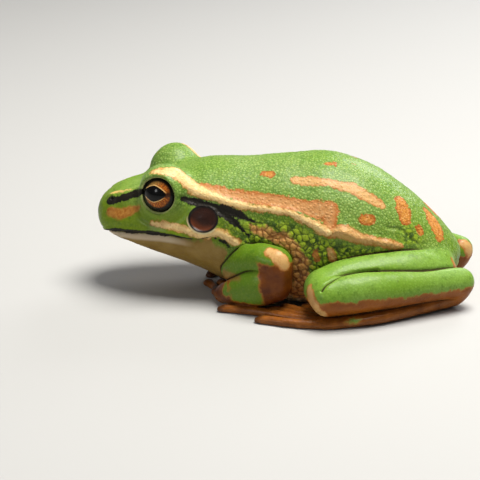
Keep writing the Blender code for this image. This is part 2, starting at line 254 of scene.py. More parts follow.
class Limb:
    """A tube along a curve, whose sections are ellipses and whose ends are round."""

    def __init__(self, stations, steps=5):
        rows = curve_through(stations, steps)
        self.centres, self.sizes = rows[:, :3], rows[:, 3:5]
        along = np.gradient(self.centres, axis=0)
        along /= np.linalg.norm(along, axis=1)[:, None]
        across = np.cross(along, (0.0, 0.0, 1.0))
        across /= np.linalg.norm(across, axis=1)[:, None]
        self.across, self.up = across, np.cross(across, along)
        margin = self.sizes.max() + 3.0
        self.low, self.high = self.centres.min(0) - margin, self.centres.max(0) + margin

    def distance(self, p):
        found = np.full(len(p), FAR)
        near = np.all((p > self.low) & (p < self.high), axis=1)
        q = p[near]
        _, passed = nearest(q, self.centres)
        low = np.minimum(passed.astype(int), len(self.centres) - 2)
        share = (passed - low)[:, None]

        def at(values):
            return values[low] * (1 - share) + values[low + 1] * share

        offset = q - at(self.centres)
        across = (offset * at(self.across)).sum(1)
        up = (offset * at(self.up)).sum(1)
        width, height = at(self.sizes).T
        length2 = (offset**2).sum(1)
        past2 = np.maximum(length2 - across**2 - up**2, 0)
        size2 = (across / width) ** 2 + (up / height) ** 2 + past2 / np.minimum(width, height) ** 2
        found[near] = outside(np.sqrt(length2), np.sqrt(size2))
        return found


def digit(points, thick):
    """A digit that lies on the floor, thinner before the round pad at its tip."""
    rows = curve_through(points, 5)
    steps = np.linalg.norm(np.diff(rows, axis=0), axis=1)
    to_tip = np.append(np.cumsum(steps[::-1])[::-1], 0.0)
    length = to_tip[0]
    pad = tuple((back, share * PAD_RADIUS) for back, share in PAD_SHAPE)
    behind = ((NECK, NECK_SHARE * thick), (0.45 * length, 0.92 * thick), (length, thick))
    radius = along_x(to_tip, pad + behind)
    height = radius * along_x(to_tip, DIGIT_HEIGHT)
    return Limb(np.column_stack((rows, height - 0.1, radius, height)), 2)


UPPER_ARM_FORM, FOREARM_FORM, THIGH_FORM, SHANK_FORM, FOOT_FORM = (
    Limb(rows) for rows in (UPPER_ARM, FOREARM_AND_HAND, THIGH, SHANK, TARSUS_AND_FOOT)
)
FINGER_FORMS = [digit(points, FINGER_RADIUS) for points in FINGERS]
TOE_FORMS = [digit(points, TOE_RADIUS) for points in TOES]


def near_point(p, centre, radius):
    """1 at centre, falling to 0 over about this radius."""
    return np.exp(-((p - np.array(centre)) ** 2).sum(1) / radius**2)


def blend_near(p, place, reach, least, more):
    """How wide the blend between two parts is at each point."""
    return least + more * near_point(p, place, reach)


def line_gap(p, line, reach=4.0):
    """How far each point is from a line, up to reach, and how many of the line's points lie before there."""
    line = np.array(line, float)
    gap = np.full(len(p), reach)
    passed = np.zeros(len(p))
    near = np.all((p > line.min(0) - reach) & (p < line.max(0) + reach), axis=1)
    best, found = nearest(p[near], line)
    within = best < reach**2
    gap[near] = np.where(within, np.sqrt(best), reach)
    passed[near] = np.where(within, found, 0.0)
    return gap, passed


TOE_LINES = [curve_through(points, 3) for points in TOES]


def web_distance(p):
    """The thin skin between the toes."""
    flat = p[:, :2]
    gaps = [line_gap(flat, line, 5.0)[0] for line in TOE_LINES]
    spread = np.min([a + b for a, b in zip(gaps, gaps[1:])], axis=0)
    return np.maximum(np.abs(p[:, 2] - WEB_HEIGHT) - WEB_HALF_THICK, (spread - WEB_SPREAD) / 2)


def form_distances(p):
    """How far each point is outside the trunk with the head, the arm, the leg to the heel, and the foot."""
    trunk = body_distance(p)
    lids = p - np.array(LID_CENTRE)
    share = np.linalg.norm(lids / np.array(LID_RADII), axis=1)
    trunk = smooth_union(trunk, outside(np.linalg.norm(lids, axis=1), share), LID_BLEND)
    elbow = blend_near(p, *ELBOW_BLEND)
    arm = smooth_union(UPPER_ARM_FORM.distance(p), FOREARM_FORM.distance(p), elbow)
    for form in FINGER_FORMS:
        arm = smooth_union(arm, form.distance(p), FINGER_BLEND)
    knee = blend_near(p, *KNEE_BLEND)
    leg = smooth_union(THIGH_FORM.distance(p), SHANK_FORM.distance(p), knee)
    foot = FOOT_FORM.distance(p)
    for form in TOE_FORMS:
        foot = smooth_union(foot, form.distance(p), TOE_BLEND)
    beside = (p[:, 2] < WEB_BELOW) & (p[:, 0] > WEB_FROM) & (p[:, 0] < WEB_TO)
    foot[beside] = smooth_union(foot[beside], web_distance(p[beside]), WEB_BLEND)
    return trunk, arm, leg, foot


def base_distance(p):
    """How far each point (x, out, z) is outside the bare forms, joined."""
    trunk, arm, leg, foot = form_distances(p)
    leg = smooth_union(leg, foot, blend_near(p, *HEEL_BLEND))
    skin = smooth_union(trunk, arm, blend_near(p, *SHOULDER_BLEND))
    skin = smooth_union(skin, leg, blend_near(p, *HIP_BLEND))
    return smooth_cut(skin, p[:, 2], FLOOR_BLEND)


def eye_place(p):
    """How far off the gaze each point is, how far along it, and how far from the middle of the eye."""
    offset = p - np.array(EYE_CENTRE)
    along = offset @ unit(GAZE)
    reach2 = (offset**2).sum(1)
    return np.sqrt(np.maximum(reach2 - along**2, 0)), along, np.sqrt(reach2)


def eye_cut(p):
    """How far each point is outside the socket and outside the flare of the lids' opening."""
    off_gaze, along, off_eye = eye_place(p)
    edge = math.sqrt(EYE_RADIUS**2 - LID_OPENING**2)
    flare = off_gaze - LID_OPENING - LID_FLARE * np.maximum(along - edge, 0)
    flare /= math.hypot(1.0, LID_FLARE)
    return off_eye - (EYE_RADIUS + SOCKET_GAP), np.maximum(flare, FLARE_START * edge - along)


def skin_distance(points):
    """The whole field, for points anywhere in the frame."""
    p = np.array(points, float)
    p[:, 1] = np.abs(p[:, 1])
    skin = base_distance(p)
    head = p[:, 0] < HEAD_END
    socket, flare = eye_cut(p[head])
    opened = smooth_cut(skin[head], flare, LID_EDGE)
    skin[head] = np.maximum(opened, -socket)
    return skin


def refined(values, times):
    """The same values with more steps between them, in a straight line from one to the next."""
    for axis in range(3):
        count = values.shape[axis]
        at = np.arange((count - 1) * times + 1) / times
        low = np.minimum(at.astype(int), count - 2)
        shape = [1, 1, 1]
        shape[axis] = len(at)
        share = (at - low).reshape(shape)
        values = np.take(values, low, axis) * (1 - share) + np.take(values, low + 1, axis) * share
    return values


def grid_mesh():
    """Points and four-sided faces of the field's surface, from a grid over one half and its mirror image."""
    low = np.array(GRID_LOW)
    wide_step = COARSE * GRID_STEP
    wide = [np.arange(start, end + wide_step, wide_step) for start, end in zip(GRID_LOW, GRID_HIGH)]
    corners = np.stack(np.meshgrid(*wide, indexing="ij"), axis=-1)
    half = skin_distance(corners.reshape(-1, 3)).reshape(corners.shape[:3])
    half = refined(half, COARSE)
    near = np.argwhere(np.abs(half) < NEAR_SURFACE)
    for part in np.array_split(near, max(1, len(near) // CHUNK)):
        half[tuple(part.T)] = skin_distance(low + part * GRID_STEP)
    whole = np.concatenate((half[:, :0:-1], half), axis=1).astype(np.float32)
    grid = openvdb.FloatGrid(background=FIELD_LIMIT)
    grid.copyFromArray(np.clip(whole, -FIELD_LIMIT, FIELD_LIMIT))
    found, quads = grid.convertToQuads(isovalue=0.0)
    corner = np.array((low[0], -(half.shape[1] - 1) * GRID_STEP, low[2]))
    return found * GRID_STEP + corner, quads


def settle(points, rounds=2, most=0.2):
    """Moves points along the field's slope onto its surface."""
    step = 0.02
    for _ in range(rounds):
        value = skin_distance(points)
        slope = np.empty_like(points)
        for k in range(3):
            ahead = points.copy()
            ahead[:, k] += step
            slope[:, k] = (skin_distance(ahead) - value) / step
        size = np.maximum(np.linalg.norm(slope, axis=1), 0.2)
        points = points - slope / size[:, None] * np.clip(value / size, -most, most)[:, None]
    return points


def normals_of(points, quads):
    """The normal at each point of a mesh of four-sided faces."""
    a, b, c, d = (points[quads[:, k]] for k in range(4))
    across = np.cross(c - a, d - b)
    total = np.empty_like(points)
    for k in range(3):
        weights = np.repeat(across[:, k], 4)
        total[:, k] = np.bincount(quads.ravel(), weights, len(points))
    return total / np.maximum(np.linalg.norm(total, axis=1), 1e-9)[:, None]


# ---------------------------------------------------------------- noise


def hashed(cell, seed):
    """A number from 0 to 1 for each whole-numbered cell."""
    x, y, z = (cell[..., k].astype(np.uint32) for k in range(3))
    mixed = x * np.uint32(73856093) ^ y * np.uint32(19349663) ^ z * np.uint32(83492791)
    mixed = mixed + np.uint32(seed * 1013904223 % 4294967296)
    mixed = (mixed ^ (mixed >> np.uint32(15))) * np.uint32(2246822519)
    mixed = (mixed ^ (mixed >> np.uint32(13))) * np.uint32(3266489917)
    return ((mixed ^ (mixed >> np.uint32(16))) >> np.uint32(8)).astype(float) / 16777216.0


def soft_noise(p, size, seed):
    """Smooth noise from -1 to 1, with one swing in about this many millimetres."""
    q = p / size + 100.0
    low = np.floor(q).astype(np.int64)
    t = q - low
    t = t * t * t * (t * (t * 6 - 15) + 10)
    total = np.zeros(len(p))
    for corner in np.ndindex(2, 2, 2):
        share = np.prod(np.where(np.array(corner) == 1, t, 1 - t), axis=1)
        total += share * hashed(low + np.array(corner), seed)
    return total * 2 - 1


def granules(p, size, seed):
    """Round grains about this wide: 1 in a grain's middle to 0 off it, and 0 in a seam to 1 away from it."""
    q = p / size + 100.0
    low = np.floor(q).astype(np.int64)
    first = np.full(len(p), 9.0)
    second = np.full(len(p), 9.0)
    for step in np.ndindex(3, 3, 3):
        cell = low + np.array(step) - 1
        middle = cell + 0.5
        for k in range(3):
            middle[:, k] += (hashed(cell, seed + k) - 0.5) * 0.8
        gap = ((q - middle) ** 2).sum(1)
        second = np.minimum(second, np.maximum(first, gap))
        first = np.minimum(first, gap)
    first, second = np.sqrt(first), np.sqrt(second)
    return np.clip(1 - first / 0.75, 0, 1), np.clip((second - first) / 0.5, 0, 1)


def ramp(value, low, high):
    """0 below low, 1 above high, and smooth between."""
    t = np.clip((value - low) / (high - low), 0.0, 1.0)
    return t * t * (3 - 2 * t)


# ---------------------------------------------------------------- relief

# Lines on the skin, as points (x, out, z)
CANTHUS = ((-34.5, 3.2, 18.5), (-32.4, 3.9, 19.4), (-30.2, 4.4, 20.2), (-28.0, 5.2, 20.9))
LORE = ((-32.6, 6.3, 17.2), (-30.8, 6.9, 17.2), (-28.8, 7.7, 17.9))
UPPER_LIP = (
    (-35.4, 4.4, 13.6), (-33.4, 6.4, 14.0), (-30.0, 8.6, 14.3), (-26.0, 10.2, 14.6), (-22.0, 11.2, 14.6),
)
FOLD = (
    (-18.4, 9.0, 22.6), (-16.5, 9.2, 21.9), (-13.7, 9.8, 21.2), (-9.8, 10.6, 20.3), (-5.9, 11.1, 19.7),
    (-2.0, 11.5, 19.5), (1.9, 12.1, 19.2), (4.2, 12.7, 18.4), (5.8, 13.1, 17.7), (7.7, 13.5, 16.8),
    (9.3, 13.7, 16.0),
)
EAR_FOLD = (
    (-19.6, 10.9, 21.1), (-18.3, 10.5, 20.8), (-16.8, 10.3, 20.3), (-13.6, 10.8, 19.7), (-9.7, 11.4, 18.7),
    (-7.3, 11.9, 17.6),
)
SHOULDER_FOLD = (
    (-12.0, 11.4, 18.7), (-9.6, 11.9, 17.5), (-7.6, 12.4, 15.8), (-5.7, 12.8, 14.0), (-4.9, 13.1, 13.4),
)
JAW_GLAND = (
    (-17.5, 12.1, 14.6), (-15.4, 12.3, 14.2), (-13.4, 12.4, 14.4), (-11.9, 12.4, 14.8), (-10.3, 12.5, 14.2),
    (-8.0, 12.7, 12.7), (-6.4, 13.1, 12.2),
)
UNDER_GLAND = ((-13.0, 12.4, 13.5), (-11.4, 12.5, 13.5), (-10.2, 12.6, 12.7), (-9.3, 12.7, 11.6))
RUMP_FOLD = (
    (20.5, 10.8, 16.4), (22.4, 10.0, 15.9), (23.8, 9.7, 15.1), (25.4, 9.6, 13.6), (26.4, 9.4, 12.7),
)
FLANK_RIDGE = (
    (9.3, 13.8, 15.7), (11.2, 13.5, 16.2), (12.7, 13.4, 16.0), (15.4, 13.3, 14.8), (18.4, 12.6, 14.2),
    (21.0, 11.8, 13.5), (23.1, 11.1, 12.9),
)
KNEE_FOLD = (
    (8.8, 23.6, 7.9), (9.4, 22.9, 8.6), (10.8, 21.4, 9.3), (12.8, 19.7, 9.8), (15.7, 18.3, 10.0),
    (19.0, 17.1, 10.0),
)
ELBOW_FOLD = ((-5.3, 16.3, 8.0), (-4.6, 16.9, 8.9), (-3.0, 17.6, 9.2))

# Ridges, and grooves where the height is below 0: line, height, width
RIDGES = (
    (CANTHUS, 0.32, 0.8),
    (LORE, -0.55, 1.6),
    (UPPER_LIP, 0.18, 1.2),
    (FOLD, 0.5, 0.95),
    (EAR_FOLD, -0.32, 0.6),
    (SHOULDER_FOLD, -0.3, 0.5),
    (JAW_GLAND, 0.45, 0.85),
    (UNDER_GLAND, -0.28, 0.45),
    (RUMP_FOLD, -0.25, 0.35),
    (KNEE_FOLD, -0.45, 0.32),
    (ELBOW_FOLD, -0.35, 0.3),
)
FLANK_RIDGE_SIZE = (0.42, 0.75)
# x, out, z, radius, height
FLANK_LUMPS = (
    (12.4, 13.4, 16.1, 1.5, 0.8),
    (15.2, 13.3, 14.9, 1.1, 0.5),
    (17.9, 12.7, 14.3, 1.0, 0.45),
    (20.4, 12.0, 13.7, 0.9, 0.4),
)

# Profiles, each a sum of round ridges and grooves: middle, width, height
NOSTRIL = (-33.7, 4.4, 18.3)
NOSTRIL_PROFILE = ((0.62, 0.3, 0.2), (0.0, 0.36, -0.6))  # out from its middle
LIPS_PROFILE = ((0.0, 0.2, -0.45), (0.55, 0.4, 0.24), (-0.8, 0.5, 0.1))  # up from the mouth line
LIDS_PROFILE = ((3.9, 0.25, 0.13), (4.9, 0.35, -0.1))  # out from the gaze
UNDER_LID_PROFILE = ((6.0, 0.6, -0.22),)
EARDRUM_PROFILE = ((1.02, 0.09, 0.2), (0.0, 0.3, 0.14))  # out from its middle, where 1 is the rim
EARDRUM_DEPTH = 0.24
JAW_DEPTH = 0.12
CREASE_DEPTH, CREASE_WIDTH, CREASE_REACH = 0.25, 0.3, 1.5
SHARE_BLEND = 0.25
# Where the creases between parts fade out: place and radius
HIP = ((32.5, 7.5, 9.5), 4.6)
ELBOW = ((0.6, 16.6, 8.4), 4.2)
KNEE = ((7.6, 20.6, 7.2), 3.8)
HEEL = ((36.2, 8.8, 3.2), 3.6)

# Soft noises: millimetres, seed
LUMPS, SWELL, UNEVEN = (1.7, 11), (4.5, 41), (1.9, 42)
SWELL_HEIGHT, UNEVEN_HEIGHT = 0.10, 0.05
GRANULE_SIZE, GRANULE_SEED = 0.8, 31
GRANULE_HEIGHT, LIMB_GRANULE_HEIGHT, GRANULE_LEVEL = 0.075, 0.014, 0.35
COBBLE_SIZE, COBBLE_SEED = 1.2, 21
COBBLE_HEIGHT, COBBLE_CROWN, COBBLE_LEVEL = 0.26, 0.1, 0.2
# The lower edge of the smooth back, where the cobbles begin, as points (x, z)
COBBLE_EDGE = (
    (-12.0, 2.0), (-7.0, 18.5), (2.0, 18.6), (8.0, 16.2), (14.0, 14.8), (24.0, 13.0), (32.0, 8.0),
)


def ridge(p, line, height, width):
    """A rounded ridge along a line, or a groove if the height is below 0."""
    gap, _ = line_gap(p, curve_through(line, 3), 3.0 * width)
    return height * (np.exp(-((gap / width) ** 2)) - np.exp(-9.0)).clip(0)


def profile(place, rows):
    """The sum of a profile's round ridges and grooves at this place across it."""
    return sum(height * np.exp(-(((place - middle) / width) ** 2)) for middle, width, height in rows)


def eardrum_place(p):
    """How far out from the eardrum's middle each point is, where 1 is its rim, and how far off its plane."""
    facing = unit(EARDRUM_FACING)
    offset = p - np.array(EARDRUM_CENTRE)
    off_plane = offset @ facing
    flat = offset - off_plane[:, None] * facing
    along, across = flat[:, 0], np.hypot(flat[:, 1], flat[:, 2])
    return np.hypot(along / EARDRUM_RADII[0], across / EARDRUM_RADII[1]), off_plane


def mouth_place(p):
    """How far each point is above the mouth line, and 1 where the mouth is, to 0 behind its corner."""
    return p[:, 2] - along_x(p[:, 0], MOUTH_LINE), ramp(-p[:, 0], 12.6, 16.5)


def parts(p):
    """How near the creases between parts each point is, and what share of it is trunk, arm, leg and foot."""
    trunk, arm, leg, foot = form_distances(p)
    upper_arm, forearm = UPPER_ARM_FORM.distance(p), FOREARM_FORM.distance(p)
    thigh, shank = THIGH_FORM.distance(p), SHANK_FORM.distance(p)
    pairs = (
        (trunk, leg, HIP),
        (upper_arm, forearm, ELBOW),
        (thigh, shank, KNEE),
        (leg, foot, HEEL),
    )

    def between(a, b):
        return np.exp(-(((a - b) / CREASE_WIDTH) ** 2)) * (np.maximum(a, b) < CREASE_REACH)

    crease = between(trunk, arm)
    for a, b, soft in pairs:
        crease = np.maximum(crease, between(a, b) * np.clip(1 - 1.6 * near_point(p, *soft), 0, 1))
    shares = np.exp(-np.column_stack((trunk, arm, leg, foot)).clip(-4, 8) / SHARE_BLEND)
    return crease, shares / shares.sum(1)[:, None]


def smoothness(q):
    """1 on the sides of the head and the throat, whose skin is finer, to 0 on the back."""
    x, out, z = q.T
    return 0.8 * ramp(-x, 9.0, 15.0) * ramp(22.0 - 0.25 * out - z, -1.5, 1.5)


def cobble_zone(q):
    """1 on the flank and belly, whose skin is all round cobbles, to 0 on the back and the throat."""
    x, _, z = q.T
    return ramp(along_x(x, COBBLE_EDGE) - z, 0.0, 2.5) * ramp(x, -12.0, -4.0)


def lips_relief(q):
    above, mouth = mouth_place(q)
    jaw = ramp(-above, 0.0, 0.5) * ramp(above, -3.5, -0.5)
    return mouth * (profile(above, LIPS_PROFILE) - JAW_DEPTH * jaw)


def lids_relief(q):
    off_gaze, along, _ = eye_place(q)
    below = ramp(-q[:, 2], -19.5, -16.5)
    lids = profile(off_gaze, LIDS_PROFILE) + below * profile(off_gaze, UNDER_LID_PROFILE)
    return lids * ramp(along, 0.5, 2.5)


def eardrum_relief(q):
    rim, off_plane = eardrum_place(q)
    drum = profile(rim, EARDRUM_PROFILE) - EARDRUM_DEPTH * ramp(-rim, -0.98, -0.82)
    return drum * (np.abs(off_plane) < 1.5)


def grain_relief(p, q, trunk, cobbles):
    """Cobbles low on the trunk, granules on the back, and wide soft unevenness everywhere."""
    crown, seam = cobbles
    cobbled = trunk * cobble_zone(q)
    height = cobbled * (COBBLE_HEIGHT * np.sqrt(seam) + COBBLE_CROWN * crown - COBBLE_LEVEL)
    granule, _ = granules(p, GRANULE_SIZE, GRANULE_SEED)
    on_back = trunk * (1 - cobbled) * (1 - smoothness(q))
    tall = GRANULE_HEIGHT * on_back + LIMB_GRANULE_HEIGHT * (1 - trunk)
    off_eye = ramp(eye_place(q)[2], EYE_RADIUS + 0.2, EYE_RADIUS + 2.3)
    height += tall * (granule - GRANULE_LEVEL) * off_eye
    return height + SWELL_HEIGHT * soft_noise(p, *SWELL) * trunk + UNEVEN_HEIGHT * soft_noise(p, *UNEVEN)


def relief(p, q, crease, shares, cobbles):
    """How far the skin stands out of the bare forms. p is the place itself and q the same with out for y."""
    trunk = shares[:, 0]
    height = -CREASE_DEPTH * crease
    for line, tall, width in RIDGES:
        height += ridge(q, line, tall, width)
    height += ridge(q, FLANK_RIDGE, *FLANK_RIDGE_SIZE) * (0.75 + 0.5 * soft_noise(p, *LUMPS))
    for *place, radius, tall in FLANK_LUMPS:
        height += tall * near_point(q, place, radius)
    height += profile(np.linalg.norm(q - np.array(NOSTRIL), axis=1), NOSTRIL_PROFILE)
    height += trunk * ramp(-q[:, 0], 8.0, 12.0) * lips_relief(q)
    height += lids_relief(q) + eardrum_relief(q) + grain_relief(p, q, trunk, cobbles)
    _, along, off_eye = eye_place(q)
    height[(along > 0) & (off_eye < EYE_RADIUS + 0.3)] = 0.0
    return height * ramp(q[:, 2], 0.02, 0.5)


# ---------------------------------------------------------------- pigment

# Strokes of pigment, as points (x, out, z, radius)
CREAM = (
    (
        (-24.8, 9.0, 25.3, 0.6), (-22.6, 9.5, 25.9, 1.1), (-20.4, 8.8, 25.4, 1.6), (-18.7, 8.6, 23.9, 1.7),
        (-17.0, 8.8, 22.4, 1.45), (-13.7, 9.7, 21.3, 1.0), (-9.8, 10.6, 20.2, 0.8), (-5.9, 11.1, 19.6, 0.7),
        (-2.0, 11.5, 19.4, 0.6), (1.9, 12.1, 19.1, 0.65), (4.2, 12.7, 18.3, 0.75), (5.8, 13.1, 17.6, 0.9),
        (7.7, 13.5, 16.7, 0.9), (9.3, 13.7, 15.9, 0.8),
    ),
    (
        (-25.0, 10.3, 15.4, 0.4), (-23.0, 10.9, 15.5, 0.65), (-21.3, 11.3, 15.4, 0.7),
        (-18.1, 11.9, 14.9, 0.75), (-15.8, 12.3, 14.2, 0.8), (-13.4, 12.4, 14.3, 0.8),
        (-11.9, 12.4, 14.7, 0.8), (-10.3, 12.5, 14.1, 0.9), (-8.0, 12.7, 12.7, 0.9), (-6.4, 13.1, 12.2, 0.6),
    ),
)
TAN = (
    ((34.7, 7.3, 8.2, 1.2), (35.9, 7.0, 6.9, 1.8), (36.4, 7.0, 5.4, 1.7)),
    (
        (9.3, 13.8, 15.7, 0.7), (11.2, 13.5, 16.1, 1.2), (12.7, 13.4, 16.0, 1.5), (15.4, 13.3, 14.8, 1.0),
        (18.4, 12.6, 14.2, 0.8), (21.0, 11.8, 13.5, 0.8), (23.1, 11.1, 12.9, 0.5),
    ),
    (
        (2.6, 7.9, 24.4, 0.9), (5.4, 8.3, 24.4, 1.15), (8.5, 8.5, 24.3, 0.7), (11.1, 8.6, 23.7, 0.9),
        (13.8, 8.4, 23.2, 1.2), (16.9, 8.7, 21.5, 1.1), (19.4, 8.6, 20.0, 0.65),
    ),
    ((9.7, 14.4, 12.8, 0.6), (10.3, 14.6, 11.2, 0.7)),
    ((-1.4, 17.1, 13.0, 1.1), (-0.1, 18.0, 12.5, 1.4), (1.0, 18.2, 11.8, 1.5), (1.5, 18.3, 10.8, 1.2)),
    ((6.2, 21.3, 7.6, 0.8), (6.9, 22.2, 6.0, 1.4), (7.6, 22.8, 4.6, 1.8), (8.6, 23.3, 3.2, 1.4)),
)
BRICK = (
    (
        (-17.2, 8.1, 23.1, 0.5), (-15.4, 8.5, 22.5, 0.9), (-12.2, 9.2, 22.0, 1.1), (-9.1, 9.6, 21.5, 1.1),
        (-6.0, 10.0, 21.3, 1.2), (-2.1, 10.5, 21.1, 1.25), (1.8, 11.1, 20.7, 1.25), (4.8, 11.6, 20.2, 1.4),
        (7.4, 12.0, 19.9, 1.9), (9.3, 12.1, 19.8, 1.8), (9.6, 12.9, 18.0, 1.2), (9.5, 13.5, 16.6, 0.9),
    ),
)
RUST = (
    ((-3.4, 6.3, 24.9, 0.85), (-2.4, 6.3, 24.9, 0.9)),
    ((8.2, 4.3, 26.7, 0.55), (9.8, 4.0, 26.6, 0.6)),
    ((13.2, 2.2, 26.3, 0.3), (13.8, 2.2, 26.2, 0.3)),
    ((16.0, 11.7, 18.2, 1.0), (17.0, 11.4, 18.1, 1.1)),
    ((22.8, 5.6, 19.9, 1.5), (23.3, 6.6, 18.8, 1.8), (23.7, 7.9, 17.4, 1.4)),
    ((26.4, 7.5, 15.3, 0.6), (26.8, 7.8, 14.6, 0.65)),
    ((28.0, 1.8, 17.1, 1.1), (28.9, 2.6, 15.7, 1.9), (29.7, 3.8, 14.4, 2.0), (30.6, 5.2, 13.4, 1.4)),
    ((33.1, 7.2, 9.6, 0.5), (33.3, 7.6, 8.3, 0.7)),
    ((7.0, 14.5, 12.0, 0.75), (7.2, 14.5, 11.3, 0.8)),
    ((-27.3, 4.8, 22.8, 0.3), (-26.6, 5.0, 24.2, 0.35), (-25.4, 5.4, 25.4, 0.3)),
)
LORE_PATCH = (
    ((-34.2, 5.7, 15.9, 0.9), (-31.8, 7.2, 16.3, 1.15), (-29.6, 7.9, 17.1, 1.0), (-28.4, 8.4, 17.9, 0.7)),
)
GOLD = (
    (
        (-34.0, 3.5, 18.9, 0.25), (-32.3, 4.2, 19.7, 0.45), (-30.2, 4.9, 20.6, 0.6), (-28.8, 5.3, 21.4, 0.6),
        (-27.9, 6.2, 22.3, 0.55),
    ),
)
BLACK = (
    (
        (-34.2, 4.4, 17.8, 0.7), (-33.4, 4.8, 18.1, 0.9), (-32.0, 5.3, 18.6, 0.85), (-30.0, 5.8, 19.3, 0.9),
        (-28.7, 6.1, 20.0, 0.85), (-27.8, 7.4, 21.0, 0.8), (-27.4, 9.2, 21.4, 0.7),
    ),
    (
        (-20.2, 11.3, 21.3, 0.3), (-18.6, 10.6, 20.8, 0.5), (-16.8, 10.3, 20.1, 0.8),
        (-13.6, 10.9, 19.3, 1.0), (-9.9, 11.3, 18.8, 0.9), (-7.3, 11.8, 18.0, 0.6), (-5.3, 12.2, 17.2, 0.3),
        (-3.4, 12.4, 16.9, 0.1),
    ),
    (
        (-11.4, 11.4, 18.3, 0.8), (-9.4, 11.9, 17.3, 0.65), (-7.6, 12.4, 15.9, 0.45),
        (-5.9, 12.8, 14.2, 0.35), (-4.9, 13.1, 13.3, 0.25),
    ),
    ((-12.8, 12.4, 13.6, 0.2), (-10.6, 12.5, 12.9, 0.3), (-9.4, 12.6, 11.6, 0.25)),
)
UNDER_ARM = (((-10.8, 12.6, 6.6, 1.2), (-8.9, 14.0, 6.4, 1.1), (-7.4, 15.8, 6.8, 0.7)),)
FLANK_BROWN = (
    (
        (-5.0, 12.7, 15.8, 0.9), (-1.8, 13.2, 14.7, 1.5), (0.6, 13.7, 13.5, 1.9), (2.2, 14.0, 12.0, 2.3),
        (3.2, 14.2, 10.2, 2.5), (3.6, 14.2, 7.5, 2.6), (3.8, 13.8, 4.5, 2.4),
    ),
)
GREEN_ON_FOOT = (
    ((13.6, 22.8, 1.5, 0.45), (14.9, 22.4, 1.7, 0.7), (16.0, 22.0, 1.8, 0.45)),
    ((-10.3, 14.4, 5.2, 0.8), (-10.2, 15.2, 3.4, 0.8)),
)
# Mottled places away from the flank: place, radius, strength
MOTTLED = (((25.2, 9.7, 14.6), 2.4, 0.8), ((-9.3, 12.1, 15.2), 2.4, 0.6))

# Edges, as points (x, z): where the green ends over the belly and the shank
BELLY_EDGE = (
    (-36.0, 11.0), (-13.0, 12.6), (-9.5, 11.0), (-4.0, 5.0), (2.0, 7.0), (12.0, 7.5), (24.0, 5.0),
    (33.0, 5.0),
)
SHANK_EDGE = (
    (9.0, 5.1), (12.0, 5.9), (14.5, 5.2), (17.0, 5.6), (22.0, 5.3), (28.0, 4.9), (33.0, 4.6), (37.0, 4.8),
)
LIP_LINE = ((-36.0, 0.28), (-33.0, 0.42), (-24.0, 0.42), (-16.0, 0.15))  # x, half width; the line is dark pigment widened with painted shade of the mouth's groove
SIDE_SHADE = ((-16.0, 1.35), (-4.0, 1.0), (20.0, 0.6))  # x, strength of the painted shade on the lower sides of the trunk
LIP_LINE_RISE = 0.25  # how far its middle is above the mouth line
LIP_LINE_END = -12.8
MOUTH_CORNER = -13.0
# The brown starts behind this x and below this z on the forearm, and before and below these on the hand
FOREARM_BROWN, HAND_BROWN = (-2.9, 10.6), (-9.6, 5.5)
FOOT_BROWN = 3.0  # the foot is brown all over
LID_EDGE_RING = (3.5, 0.2)  # how far off the gaze, and half its width
FAR_SIDE_SWAY = (2.4, 0.0, 0.9)
OFF = -4.0  # far outside any stroke


def painted(q, strokes):
    """How far inside the nearest stroke each point is, in millimetres."""
    found = np.full(len(q), OFF)
    for stroke in strokes:
        line = np.array(stroke)
        gap, passed = line_gap(q, line[:, :3])
        found = np.maximum(found, np.interp(passed, range(len(line)), line[:, 3]) - gap)
    return found


def on(share, value):
    """The value where the share is 1, and outside where it is less."""
    return np.maximum(value - 9 * (1 - share), OFF)


def brown_place(q, shares):
    """How far inside the brown of the arm, shank and foot each point is."""
    x, _, z = q.T
    _, arm, leg, foot = shares.T
    forearm = np.minimum(x - FOREARM_BROWN[0] + 0.14 * (z - 7), FOREARM_BROWN[1] - z)
    fingers = np.maximum(HAND_BROWN[0] - x, 1.6 - z) + 0.2 * (5 - z)
    under_arm = np.maximum(forearm, np.minimum(fingers, HAND_BROWN[1] - z))
    under_leg = np.where(foot > leg, FOOT_BROWN, along_x(x, SHANK_EDGE) - z)
    lower = np.where(arm > leg + foot, under_arm, under_leg)
    return np.minimum(on(np.minimum(arm + leg + foot, 1), lower), -painted(q, GREEN_ON_FOOT))


def belly_place(q, trunk, arm, above):
    """How far inside the pale throat, belly and inner arm each point is."""
    x, _, z = q.T
    edge = np.where(x < MOUTH_CORNER, -0.02 - above, along_x(x, BELLY_EDGE) - z)
    return np.maximum(on(trunk, edge), on(arm, painted(q, UNDER_ARM)))


def lip_place(q, trunk, above):
    """How far inside the black line over the mouth, which is dark pigment with the painted shade of its
    groove, and the black round the eyeball each point is.
    """
    off_line = along_x(q[:, 0], LIP_LINE) - np.abs(above - LIP_LINE_RISE)
    line = np.minimum(off_line, (LIP_LINE_END - q[:, 0]) * 0.3)
    return np.maximum(on(trunk, line), EYE_RADIUS + 0.16 - eye_place(q)[2])


def tip_share(q):
    """1 on the tips of the digits, to 0 behind them and above."""
    lines = TOE_LINES + [curve_through(points, 3) for points in FINGERS]
    gaps = [np.hypot(q[:, 0] - line[-1, 0], q[:, 1] - line[-1, 1]) for line in lines]
    return ramp(2.0 - np.min(gaps, axis=0), 0.0, 1.6) * ramp(2.6 - q[:, 2], 0.0, 0.8)


